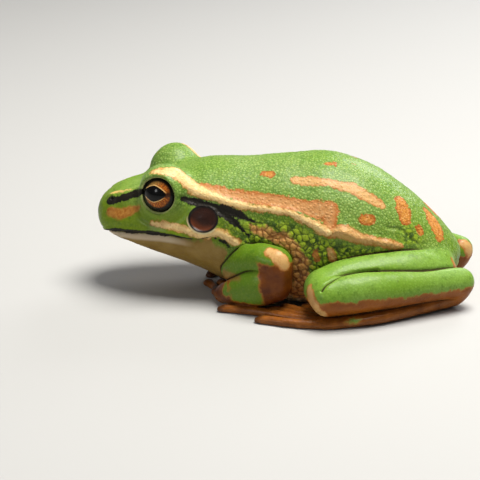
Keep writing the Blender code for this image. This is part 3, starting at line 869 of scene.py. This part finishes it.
def pigments(p, q, crease, shares, cobbles):
    """The values that the skin's material reads at each point: millimetres inside a colour, or 0 to 1."""
    x, _, z = q.T
    trunk, arm, leg, foot = shares.T
    sway = np.column_stack([soft_noise(p, 5.0, seed) for seed in (51, 52, 53)])
    loose = q + sway * FAR_SIDE_SWAY * ramp(p[:, 1], 1.0, 5.0)[:, None]
    limbs = arm + leg
    above, _ = mouth_place(q)
    rim, off_plane = eardrum_place(q)
    off_gaze, along, _ = eye_place(q)
    ring, ring_half = LID_EDGE_RING
    folds = np.maximum(ridge(q, KNEE_FOLD, 1.0, 0.28), ridge(q, ELBOW_FOLD, 1.0, 0.26))
    patches = sum(strength * near_point(q, place, radius) for place, radius, strength in MOTTLED)
    right_of_drum = 0.3 * (x - EARDRUM_CENTRE[0])
    return {
        "cream": on(trunk, painted(loose, CREAM)),
        "tan": painted(loose, TAN),
        "brick": on(trunk, painted(loose, BRICK)),
        "rust": painted(loose, RUST),
        "lore": on(trunk, painted(q, LORE_PATCH)),
        "gold": on(trunk, painted(q, GOLD)),
        "black": on(trunk, painted(q, BLACK)),
        "lips": lip_place(q, trunk, above),
        "lid": np.where(along > 0, ring_half - np.abs(off_gaze - ring), OFF),
        "drum": on(trunk, np.where(np.abs(off_plane) < 1.6, (1 - rim) * EARDRUM_SIZE, OFF)),
        # painted light: the lower front of the eardrum, where light falls into its hollow
        "drum_painted_light": ramp(EARDRUM_CENTRE[2] - 0.2 - z - right_of_drum, 0.0, 1.6),
        "brown": brown_place(q, shares),
        "throat": belly_place(q, trunk, arm, above),
        "pale_lip": ramp(-above, 0.0, 0.3) * ramp(above, -1.7, -1.1) * ramp(-x, 16.0, 22.0) * trunk,
        "flank": on(trunk, painted(loose, FLANK_BROWN)),
        "seam": cobbles[1],
        "smooth": np.maximum(smoothness(q), 0.75 * limbs + 0.5 * foot),
        "toes": np.maximum(foot, ramp(2.5 - z, 0.0, 1.5) * arm),
        "tips": tip_share(q),
        "mottle": np.maximum(cobble_zone(q), patches) * trunk,
        "limb": limbs,
        "arm": arm,
        # where painted shade darkens the creases between parts and the folds
        "crease": np.maximum(crease, folds),
        # painted shade: the trunk darker and more olive low on its sides, below the back
        "side": trunk * ramp(19.5 - z, -3.0, 3.5) * along_x(x, SIDE_SHADE),
    }


# ---------------------------------------------------------------- materials

# Colours are linear red, green and blue, and a pair runs from one colour to the other
BACK = ((0.175, 0.305, 0.032), (0.25, 0.365, 0.09))
# painted shade: the darker green for the lower sides of the trunk
SHADED_SIDE_GREEN = (0.16, 0.24, 0.004)
LEG_GREENS = ((0.15, 0.285, 0.012), (0.20, 0.35, 0.05))
ARM_GREEN = (0.11, 0.20, 0.006)
BLOTCH_GREEN, FLECK_GREEN = (0.08, 0.21, 0.015), (0.06, 0.14, 0.008)
# painted highlight on the tops of the back's grains, and painted shade in the seams between them
GRAIN_HIGHLIGHT_GREEN, DENT_SHADE_GREEN = (0.32, 0.45, 0.13), (0.035, 0.13, 0.008)
MOTTLE, MOTTLE_SEAM = ((0.32, 0.43, 0.02), (0.018, 0.052, 0.004)), (0.014, 0.032, 0.004)
# orange brown of the flank's cobbles, made lighter as painted light where the arm shades them
LIGHTENED_COBBLES, COBBLE_SEAM = ((0.50, 0.21, 0.05), (0.66, 0.36, 0.11)), (0.17, 0.05, 0.008)
BELLY, BELLY_SEAM = ((0.56, 0.44, 0.21), (0.62, 0.50, 0.28)), (0.26, 0.15, 0.05)
# the throat's tan, darkened as painted shade under the chin
SHADED_THROAT = ((0.20, 0.115, 0.014), (0.29, 0.185, 0.045))
PALE_LIP = (0.48, 0.38, 0.25)
LEG_BROWNS = ((0.30, 0.090, 0.004), (0.18, 0.046, 0.002))
ARM_BROWNS = ((0.17, 0.045, 0.003), (0.07, 0.014, 0.002))
TOE_BROWNS = ((0.32, 0.105, 0.014), (0.15, 0.044, 0.005))
COPPER_FLECK, TIP_BROWN = (0.38, 0.15, 0.035), (0.03, 0.010, 0.006)
BROWN_DOTS, BROWN_RIM = (0.05, 0.09, 0.006), (0.36, 0.13, 0.02)
RUSTY_RIM, RUSTY_CRUMBS = (0.40, 0.115, 0.02), (0.40, 0.16, 0.04)
BRICKS, BRICK_CRUMBS = ((0.44, 0.145, 0.03), (0.54, 0.26, 0.09)), (0.66, 0.41, 0.19)
BRICK_PATCHES = ((0.64, 0.32, 0.13), (0.46, 0.155, 0.045))
TANS = ((0.46, 0.19, 0.05), (0.57, 0.335, 0.12))
CREAMS = ((0.58, 0.33, 0.10), (0.74, 0.53, 0.23))
RUSTS = ((0.34, 0.09, 0.01), (0.50, 0.21, 0.035))
RUST_CRUMBS, RUST_DARK = (0.66, 0.36, 0.12), (0.28, 0.075, 0.008)
LORES = ((0.46, 0.21, 0.04), (0.30, 0.10, 0.012))
GOLD_LINE, LID_RING = (0.66, 0.45, 0.14), (0.42, 0.48, 0.16)
# the second colour is painted shade for the creases between parts and the folds
BLACK_SKIN, CREASE_SHADE = (0.012, 0.010, 0.006), (0.03, 0.014, 0.006)
# painted light on the eardrum: the rim colour shows only on its lit side, and the drum's pair runs from
# shaded to lit
LIT_DRUM_RIM, DRUM_GROOVE = (0.66, 0.55, 0.30), (0.008, 0.005, 0.004)
DRUM_SHADED_AND_LIT, DRUM_MIDDLE = ((0.035, 0.010, 0.005), (0.13, 0.032, 0.010)), (0.022, 0.006, 0.003)

SKIN_GRAIN = 0.6
SKIN_FINISH = {
    "IOR": 1.42,
    "Specular IOR Level": 0.22,
    "Coat Roughness": 0.25,
    "Subsurface Weight": 0.1,
    "Subsurface Scale": 0.0009,
    "Subsurface Radius": (1.0, 0.6, 0.25),
}

# On the eye, in millimetres forward and up from the gaze
PUPIL_MIDDLE, PUPIL_HALF, PUPIL_POWER = (0.6, 0.15), (2.4, 1.5), 1.45
IRIS_RAYS, IRIS_FLECKS = ((0.56, 0.16, 0.010), (0.24, 0.045, 0.004)), (0.66, 0.25, 0.025)
IRIS_NET, IRIS_BAND = (0.05, 0.015, 0.004), (0.03, 0.01, 0.004)
IRIS_OLIVE, IRIS_EDGE = (0.20, 0.17, 0.05), (0.03, 0.012, 0.004)
PUPIL_RIM, PUPIL_BLACK, EYE_BLACK = (0.80, 0.50, 0.18), (0.003, 0.003, 0.003), (0.006, 0.005, 0.004)
EYE_FINISH = {"IOR": 1.38, "Specular IOR Level": 0.15, "Coat Weight": 0.25, "Coat Roughness": 0.02}


class Nodes:
    """Makes a material's nodes. Each method gives the output socket of what it makes."""

    def __init__(self, name):
        self.material = bpy.data.materials.new(name)
        self.material.use_nodes = True
        self.tree = self.material.node_tree
        self.shader = self.tree.nodes["Principled BSDF"]
        self.place = self.tree.nodes.new("ShaderNodeTexCoord").outputs["Object"]

    def put(self, socket, value):
        if isinstance(value, bpy.types.NodeSocket):
            self.tree.links.new(value, socket)
        elif isinstance(value, tuple) and len(value) == 3 and socket.type == "RGBA":
            socket.default_value = (*value, 1.0)
        else:
            socket.default_value = value

    def finish(self, values):
        for name, value in values.items():
            self.put(self.shader.inputs[name], value)

    def attribute(self, name):
        node = self.tree.nodes.new("ShaderNodeAttribute")
        node.attribute_name = name
        return node.outputs["Fac"]

    def math(self, operation, *values):
        node = self.tree.nodes.new("ShaderNodeMath")
        node.operation = operation
        for socket, value in zip(node.inputs, values):
            self.put(socket, value)
        return node.outputs[0]

    def plus(self, a, b):
        return self.math("ADD", a, b)

    def minus(self, a, b):
        return self.math("SUBTRACT", a, b)

    def times(self, a, b):
        return self.math("MULTIPLY", a, b)

    def size(self, value):
        return self.math("ABSOLUTE", value)

    def noise(self, size, detail=3.0, roughness=0.7, offset=0.0):
        """Noise from about -1 to 1 whose patches are about this many millimetres wide."""
        node = self.tree.nodes.new("ShaderNodeTexNoise")
        node.noise_dimensions = "4D"
        self.put(node.inputs["Vector"], self.place)
        node.inputs["W"].default_value = offset
        node.inputs["Scale"].default_value = 0.7 / (size * MM)
        node.inputs["Detail"].default_value = detail
        node.inputs["Roughness"].default_value = roughness
        return self.math("MULTIPLY_ADD", node.outputs[0], 4.0, -2.0)

    def grains(self, size, feature="F1", jitter=0.9):
        """Distance to the middle of the nearest grain, or to the seam round it, in grains."""
        node = self.tree.nodes.new("ShaderNodeTexVoronoi")
        node.feature = feature
        self.put(node.inputs["Vector"], self.place)
        node.inputs["Scale"].default_value = 1 / (size * MM)
        node.inputs["Randomness"].default_value = jitter
        return node.outputs["Distance"]

    def ramp(self, value, low, high, start=0.0, end=1.0):
        node = self.tree.nodes.new("ShaderNodeMapRange")
        node.interpolation_type = "SMOOTHSTEP"
        names = ("Value", "From Min", "From Max", "To Min", "To Max")
        for name, given in zip(names, (value, low, high, start, end)):
            self.put(node.inputs[name], given)
        return node.outputs[0]

    def mix(self, share, a, b):
        node = self.tree.nodes.new("ShaderNodeMix")
        node.data_type = "RGBA"
        colours = [socket for socket in node.inputs if socket.type == "RGBA"]
        self.put(node.inputs["Factor"], share)
        self.put(colours[0], a)
        self.put(colours[1], b)
        return next(socket for socket in node.outputs if socket.type == "RGBA")

    def blend(self, value, low, high, colours):
        """From the first colour where the value is low to the second where it is high."""
        return self.mix(self.ramp(value, low, high), *colours)

    def bump(self, height, depth):
        node = self.tree.nodes.new("ShaderNodeBump")
        node.inputs["Distance"].default_value = depth * MM
        self.put(node.inputs["Height"], height)
        return node.outputs[0]


class SkinNodes(Nodes):
    """The skin's nodes, with the noises and attributes that its colours share."""

    def __init__(self):
        super().__init__("skin")
        self.wander = self.noise(1.6, 2.0, 0.55)
        self.stipple = self.noise(0.45, 2.0, 0.6, 3.0)
        self.tone = self.noise(9.0, 1.0, 0.5, 5.0)
        self.blotch = self.noise(2.2, 3.0, 0.6, 9.0)
        self.grain_top = self.ramp(self.grains(SKIN_GRAIN), 0.55, 0.12)
        self.grain_seam = self.ramp(self.grains(SKIN_GRAIN, "DISTANCE_TO_EDGE"), 0.16, 0.0)
        self.in_seam = self.ramp(self.attribute("seam"), 0.5, 0.05)
        self.smooth = self.attribute("smooth")
        self.mottle = self.attribute("mottle")
        self.arm = self.attribute("arm")
        self.crease = self.attribute("crease")

    def area(self, name, wave=0.35, speck=0.25, soft=0.12, shift=0.0):
        """1 inside the named strokes, with a grainy edge."""
        value = self.math("MULTIPLY_ADD", self.wander, wave, self.attribute(name))
        value = self.math("MULTIPLY_ADD", self.stipple, speck, value)
        return self.ramp(value, -soft - shift, soft - shift)

    def graded(self, name, colours, reach):
        """From one colour at the edges of the strokes to another in their middle."""
        depth = self.math("MULTIPLY_ADD", self.stipple, 0.3, self.attribute(name))
        return self.blend(depth, 0.0, reach, colours)

    def by_smoothness(self, rough, fine):
        """One value on the granular back and another on the smooth skin."""
        return self.ramp(self.smooth, 0.0, 1.0, rough, fine)


def green_skin(n):
    """Green, yellower on the limbs and darker low on the trunk's sides as painted shade, with pale grain
    tops as painted highlight and dark seams as painted shade on the back.
    """
    green = n.blend(n.tone, -0.9, 0.9, BACK)
    # painted shade: darker green low on the sides of the trunk
    green = n.mix(n.times(n.attribute("side"), 0.74), green, SHADED_SIDE_GREEN)
    limb = n.mix(n.arm, n.blend(n.tone, -1.0, 1.0, LEG_GREENS), ARM_GREEN)
    green = n.mix(n.attribute("limb"), green, limb)
    green = n.mix(n.ramp(n.blotch, -0.2, 1.4, 0.0, 0.45), green, BLOTCH_GREEN)
    green = n.mix(n.ramp(n.noise(0.7, offset=29.0), 0.0, 0.8, 0.0, 0.55), green, FLECK_GREEN)
    # painted highlight on the grain tops, then painted shade in the seams
    grains = n.times(n.grain_top, n.ramp(n.stipple, -0.6, 1.0, 0.25, 1.0))
    green = n.mix(n.times(grains, n.by_smoothness(0.5, 0.1)), green, GRAIN_HIGHLIGHT_GREEN)
    return n.mix(n.times(n.grain_seam, n.by_smoothness(0.65, 0.12)), green, DENT_SHADE_GREEN)


def mottled_skin(n):
    """Dark seams between yellow green cobbles."""
    spots = n.plus(n.noise(1.3, 3.0, 0.65, 11.0), n.times(n.stipple, 0.6))
    return n.mix(n.times(n.in_seam, 0.85), n.blend(spots, -0.1, 0.45, MOTTLE), MOTTLE_SEAM)


def belly_skin(n):
    """Cream cobbles, and the plain throat before them, its tan darkened as painted shade."""
    belly = n.mix(n.times(n.in_seam, 0.7), n.blend(n.tone, -1.0, 1.0, BELLY), BELLY_SEAM)
    return n.mix(n.mottle, n.blend(n.blotch, -1.0, 1.2, SHADED_THROAT), belly)


def cobbled_skin(n):
    """Orange brown cobbles behind the arm, made lighter as painted light against the arm's shade."""
    cobbles = n.blend(n.stipple, -1.0, 1.0, LIGHTENED_COBBLES)
    return n.mix(n.times(n.in_seam, 0.8), cobbles, COBBLE_SEAM)


def brown_skin(n):
    """Copper brown of the feet, the fingers and the undersides of the limbs."""
    brown = n.blend(n.blotch, -1.0, 1.0, LEG_BROWNS)
    brown = n.mix(n.arm, brown, n.blend(n.blotch, -0.6, 1.0, ARM_BROWNS))
    brown = n.mix(n.attribute("toes"), brown, n.blend(n.blotch, -1.0, 1.0, TOE_BROWNS))
    brown = n.mix(n.ramp(n.noise(0.5, offset=13.0), 0.3, 1.4, 0.0, 0.5), brown, COPPER_FLECK)
    return n.mix(n.times(n.attribute("tips"), 0.8), brown, TIP_BROWN)


def add_brown(n, colour):
    """The brown with its lighter rim, and dark dots in the green beside it."""
    beside = n.ramp(n.attribute("brown"), -2.6, -0.3)
    colour = n.mix(n.times(beside, n.ramp(n.stipple, 0.5, 0.8, 0.0, 0.6)), colour, BROWN_DOTS)
    colour = n.mix(n.area("brown", 0.5, 0.3, 0.3, 0.25), colour, BROWN_RIM)
    return n.mix(n.area("brown", 0.5, 0.3, 0.3), colour, brown_skin(n))


def add_marks(n, colour):
    """The stripes and spots, rusty at their edges and crumbled inside."""
    crumbs = n.ramp(n.noise(0.7, offset=21.0), 0.1, 0.9, 0.0, 0.8)
    dark_crumbs = n.ramp(n.noise(0.6, offset=33.0), 0.05, 0.7, 0.0, 0.75)
    patches = n.ramp(n.noise(1.1, 3.0, 0.65, 25.0), 0.2, 0.9, 0.0, 0.5)
    patchy = n.blend(n.stipple, -0.4, 0.9, BRICK_PATCHES)
    brick = n.mix(crumbs, n.graded("brick", BRICKS, 0.9), BRICK_CRUMBS)
    marks = (
        ("brick", brick, 0.35, 0.35),
        ("tan", n.graded("tan", TANS, 0.5), 0.25, 0.25),
        ("cream", n.graded("cream", CREAMS, 0.5), 0.3, 0.35),
    )
    for name, inner, wave, speck in marks:
        rim = n.times(n.area(name, wave, speck, 0.12, 0.18), n.ramp(n.blotch, -0.8, 0.8, 0.0, 0.85))
        colour = n.mix(rim, colour, RUSTY_RIM)
        inner = n.mix(patches, inner, patchy)
        inner = n.mix(n.times(dark_crumbs, 0.6), inner, RUSTY_CRUMBS)
        colour = n.mix(n.area(name, wave, speck), colour, inner)
    rust = n.mix(crumbs, n.graded("rust", RUSTS, 0.7), RUST_CRUMBS)
    colour = n.mix(n.area("rust", 0.3, 0.35), colour, n.mix(dark_crumbs, rust, RUST_DARK))
    colour = n.mix(n.area("lore", 0.3, 0.3, 0.35), colour, n.blend(n.stipple, -0.8, 1.0, LORES))
    colour = n.mix(n.area("gold", 0.15, 0.25, 0.15), colour, GOLD_LINE)
    return n.mix(n.area("lid", 0.05, 0.05, 0.1), colour, LID_RING)


def add_eardrum(n, colour):
    """The dark drum in a groove, with painted light: redder where light falls into it, and a pale rim below
    only where that light falls.
    """
    drum, lit = n.attribute("drum"), n.attribute("drum_painted_light")
    colour = n.mix(n.times(n.ramp(drum, -0.5, -0.36), lit), colour, LIT_DRUM_RIM)
    inside = n.mix(n.ramp(drum, 0.6, 2.2, 1.0, 0.3), DRUM_MIDDLE, n.mix(lit, *DRUM_SHADED_AND_LIT))
    inside = n.mix(n.ramp(drum, 0.42, 0.15), inside, DRUM_GROOVE)
    return n.mix(n.ramp(drum, -0.2, -0.02), colour, inside)


def skin_material():
    n = SkinNodes()
    colour = n.mix(n.times(n.mottle, 0.95), green_skin(n), mottled_skin(n))
    colour = n.mix(n.area("throat", 0.4, 0.3, 0.5), colour, belly_skin(n))
    colour = n.mix(n.area("flank", 0.9, 0.4, 0.5), colour, cobbled_skin(n))
    colour = n.mix(n.attribute("pale_lip"), colour, PALE_LIP)
    colour = add_marks(n, add_brown(n, colour))
    # the line over the mouth is pigment with painted shade of the mouth's groove
    black = n.math("MAXIMUM", n.area("black", 0.3, 0.3, 0.14), n.area("lips", 0.2, 0.1, 0.12))
    colour = add_eardrum(n, n.mix(black, colour, BLACK_SKIN))
    # painted shade: the creases between parts and the folds darkened
    colour = n.mix(n.ramp(n.crease, 0.35, 0.85, 0.0, 0.92), colour, CREASE_SHADE)

    pores = n.plus(n.times(n.grain_top, 0.7), n.times(n.noise(0.16, 2.0, 0.6, 17.0), 0.12))
    dull = n.ramp(n.plus(n.stipple, n.blotch), -1.5, 1.5, 0.40, 0.56)
    dull = n.math("MULTIPLY_ADD", n.attribute("toes"), -0.14, dull)
    dull = n.math("MULTIPLY_ADD", n.ramp(n.crease, 0.1, 0.6), 0.35, dull)
    coat = n.times(n.ramp(n.crease, 0.1, 0.5, 0.16, 0.0), n.ramp(black, 0.0, 1.0, 1.0, 0.2))
    pores = n.times(pores, n.by_smoothness(1.0, 0.25))
    n.finish({"Base Color": colour, "Roughness": dull, "Coat Weight": coat, "Normal": n.bump(pores, 0.10)})
    n.finish(SKIN_FINISH)
    return n.material


def eye_material():
    """Black outside, then the iris, a rim of gold and a pupil like a rounded diamond on its side."""
    n = Nodes("eye")
    forward, up = n.attribute("forward"), n.attribute("up")
    radius = n.math("SQRT", n.plus(n.times(forward, forward), n.times(up, up)))
    across = [
        n.math("POWER", n.math("DIVIDE", n.size(n.minus(place, middle)), half), PUPIL_POWER)
        for place, middle, half in zip((forward, up), PUPIL_MIDDLE, PUPIL_HALF)
    ]
    pupil = n.plus(*across)
    fibre = n.noise(0.35, 3.0, 0.65, 2.0)
    turn = n.math("MULTIPLY_ADD", n.math("ARCTAN2", up, forward), 30.0, n.times(fibre, 5.0))
    rays = n.math("SINE", turn)

    iris = n.blend(rays, -1.0, 1.0, IRIS_RAYS)
    iris = n.mix(n.ramp(fibre, 0.0, 1.2, 0.0, 0.8), iris, IRIS_FLECKS)
    net = n.ramp(n.grains(0.42, "DISTANCE_TO_EDGE", 1.0), 0.09, 0.01, 0.0, 0.75)
    iris = n.mix(net, iris, IRIS_NET)
    iris = n.mix(n.ramp(n.size(n.minus(up, 0.1)), 0.75, 0.25, 0.0, 0.9), iris, IRIS_BAND)
    iris = n.mix(n.ramp(n.plus(forward, up), 0.6, 3.0, 0.0, 0.6), iris, IRIS_OLIVE)
    iris = n.mix(n.ramp(radius, 2.3, 2.7), iris, IRIS_EDGE)
    rim = n.times(n.ramp(pupil, 1.0, 1.06), n.ramp(pupil, 1.24, 1.12))
    colour = n.mix(n.times(rim, n.ramp(n.size(up), 0.3, 0.9)), iris, PUPIL_RIM)
    colour = n.mix(n.ramp(pupil, 1.08, 0.98), colour, PUPIL_BLACK)
    colour = n.mix(n.ramp(radius, 2.6, 2.75), colour, EYE_BLACK)
    relief_of_iris = n.times(n.plus(fibre, rays), n.ramp(pupil, 1.0, 1.2))
    n.finish({"Base Color": colour, "Roughness": n.ramp(pupil, 1.0, 1.1, 0.2, 0.35)})
    n.finish({"Normal": n.bump(relief_of_iris, 0.02)})
    n.finish(EYE_FINISH)
    return n.material


# ---------------------------------------------------------------- pieces

EYE_SEGMENTS, EYE_RINGS = 128, 96
CORNEA_START, CORNEA_BULGE = 0.72, 0.035  # along the gaze, in radii


def keep(mesh, name, values):
    """Keeps a number for each of the mesh's points, for its material to read."""
    values = np.asarray(values, np.float32)
    mesh.attributes.new(name, "FLOAT", "POINT").data.foreach_set("value", values)


def skin_mesh():
    points, quads = grid_mesh()
    points = settle(points)
    q = points.copy()
    q[:, 1] = np.abs(q[:, 1])
    crease, shares = parts(q)
    cobbles = granules(points, COBBLE_SIZE, COBBLE_SEED)
    height = relief(points, q, crease, shares, cobbles)
    moved = points + normals_of(points, quads) * height[:, None]
    mesh = bpy.data.meshes.new("skin")
    mesh.vertices.add(len(points))
    mesh.vertices.foreach_set("co", (moved * MM).ravel())
    mesh.loops.add(quads.size)
    mesh.loops.foreach_set("vertex_index", quads.ravel().astype(np.int32))
    mesh.polygons.add(len(quads))
    mesh.polygons.foreach_set("loop_start", np.arange(0, quads.size, 4, dtype=np.int32))
    mesh.update(calc_edges=True)
    for name, values in pigments(points, q, crease, shares, cobbles).items():
        keep(mesh, name, values)
    mesh.shade_smooth()
    return mesh


def eye_mesh(side, name):
    """An eyeball that keeps its places across the iris: forward and up from the gaze, in millimetres."""
    gaze = Vector((GAZE_OF_IRIS[0], side * GAZE_OF_IRIS[1], GAZE_OF_IRIS[2])).normalized()
    up = (Vector((0, 0, 1)) - gaze * gaze.z).normalized()
    forward = up.cross(gaze) * side
    centre = Vector((EYE_CENTRE[0], side * EYE_CENTRE[1], EYE_CENTRE[2]))
    bm = bmesh.new()
    bmesh.ops.create_uvsphere(bm, u_segments=EYE_SEGMENTS, v_segments=EYE_RINGS, radius=1.0)
    places = []
    for vert in bm.verts:
        u, v, w = vert.co
        cornea = max(0.0, (w - CORNEA_START) / (1 - CORNEA_START)) ** 1.5
        radius = EYE_RADIUS * (1 + CORNEA_BULGE * cornea)
        places.append((u * EYE_RADIUS, v * EYE_RADIUS))
        vert.co = (centre + (forward * u + up * v + gaze * w) * radius) * MM
    if side < 0:
        bmesh.ops.reverse_faces(bm, faces=bm.faces)
    mesh = bpy.data.meshes.new(name)
    bm.to_mesh(mesh)
    bm.free()
    for axis, values in zip(("forward", "up"), zip(*places)):
        keep(mesh, axis, values)
    mesh.shade_smooth()
    return mesh


def place(name, mesh, material, slot, replaced):
    piece = bpy.data.objects.new(name, mesh)
    mesh.materials.append(material)
    scene.collection.objects.link(piece)
    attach(piece, "root")
    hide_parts(*replaced)


flesh = [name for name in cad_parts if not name.startswith("eye")]
place("skin", skin_mesh(), skin_material(), "green_skin", flesh)
eye_look = eye_material()
for side, word in SIDES:
    name = "eyeball_" + word
    place(name, eye_mesh(side, name), eye_look, "eye", ["eye_" + word])

# ---------------------------------------------------------------- stage, in metres

# The camera looks at the frog from this side and height, in degrees
AZIMUTH, ELEVATION = 6.0, 19.5
DISTANCE = 0.367
LENS, SENSOR = 137.5, 36.0
MIDDLE_X = 0.0003
AIM_RIGHT, AIM_UP = -0.0092, 0.0088

FLOOR_HALF, FLOOR_COLOUR, FLOOR_ROUGHNESS = 3.0, (0.45, 0.45, 0.445), 0.8
SKY_COLOUR, SKY_STRENGTH = (0.96, 0.97, 1.0), 0.14
# name, place, size, watts, colour
LIGHTS = (
    ("key", (0.10, 0.02, 0.42), 0.28, 3.6, (1.0, 0.97, 0.91)),
    ("fill", (-0.30, -0.34, 0.22), 0.12, 0.34, (1.0, 1.0, 1.0)),
    ("back", (0.16, 0.36, 0.22), 0.20, 0.7, (1.0, 1.0, 1.0)),
)


def add_camera():
    a, e = math.radians(AZIMUTH), math.radians(ELEVATION)
    back = Vector((math.sin(a) * math.cos(e), -math.cos(a) * math.cos(e), math.sin(e)))
    right = Vector((math.cos(a), math.sin(a), 0))
    aim = Vector((MIDDLE_X, 0, 0)) + right * AIM_RIGHT + back.cross(right) * AIM_UP
    camera = bpy.data.objects.new("camera", bpy.data.cameras.new("camera"))
    camera.location = aim + back * DISTANCE
    camera.rotation_euler = back.to_track_quat("Z", "Y").to_euler()
    camera.data.lens = LENS
    camera.data.sensor_width = SENSOR
    camera.data.clip_start = 0.01
    scene.collection.objects.link(camera)
    scene.camera = camera


def add_light(name, at, size, power, colour):
    data = bpy.data.lights.new(name, "AREA")
    data.shape = "DISK"
    data.size = size
    data.energy = power
    data.color = colour
    light = bpy.data.objects.new(name, data)
    light.location = at
    light.rotation_euler = Vector(at).to_track_quat("Z", "Y").to_euler()
    scene.collection.objects.link(light)


def add_floor():
    mesh = bpy.data.meshes.new("floor")
    bm = bmesh.new()
    bmesh.ops.create_grid(bm, x_segments=1, y_segments=1, size=FLOOR_HALF)
    bm.to_mesh(mesh)
    bm.free()
    floor = bpy.data.objects.new("floor", mesh)
    scene.collection.objects.link(floor)
    n = Nodes("floor")
    n.finish({"Base Color": FLOOR_COLOUR, "Roughness": FLOOR_ROUGHNESS})
    mesh.materials.append(n.material)


def add_world():
    world = bpy.data.worlds.new("studio")
    world.use_nodes = True
    background = world.node_tree.nodes["Background"]
    background.inputs["Color"].default_value = (*SKY_COLOUR, 1.0)
    background.inputs["Strength"].default_value = SKY_STRENGTH
    scene.world = world
    scene.view_settings.view_transform = "Standard"


add_camera()
add_floor()
add_world()
for light in LIGHTS:
    add_light(*light)
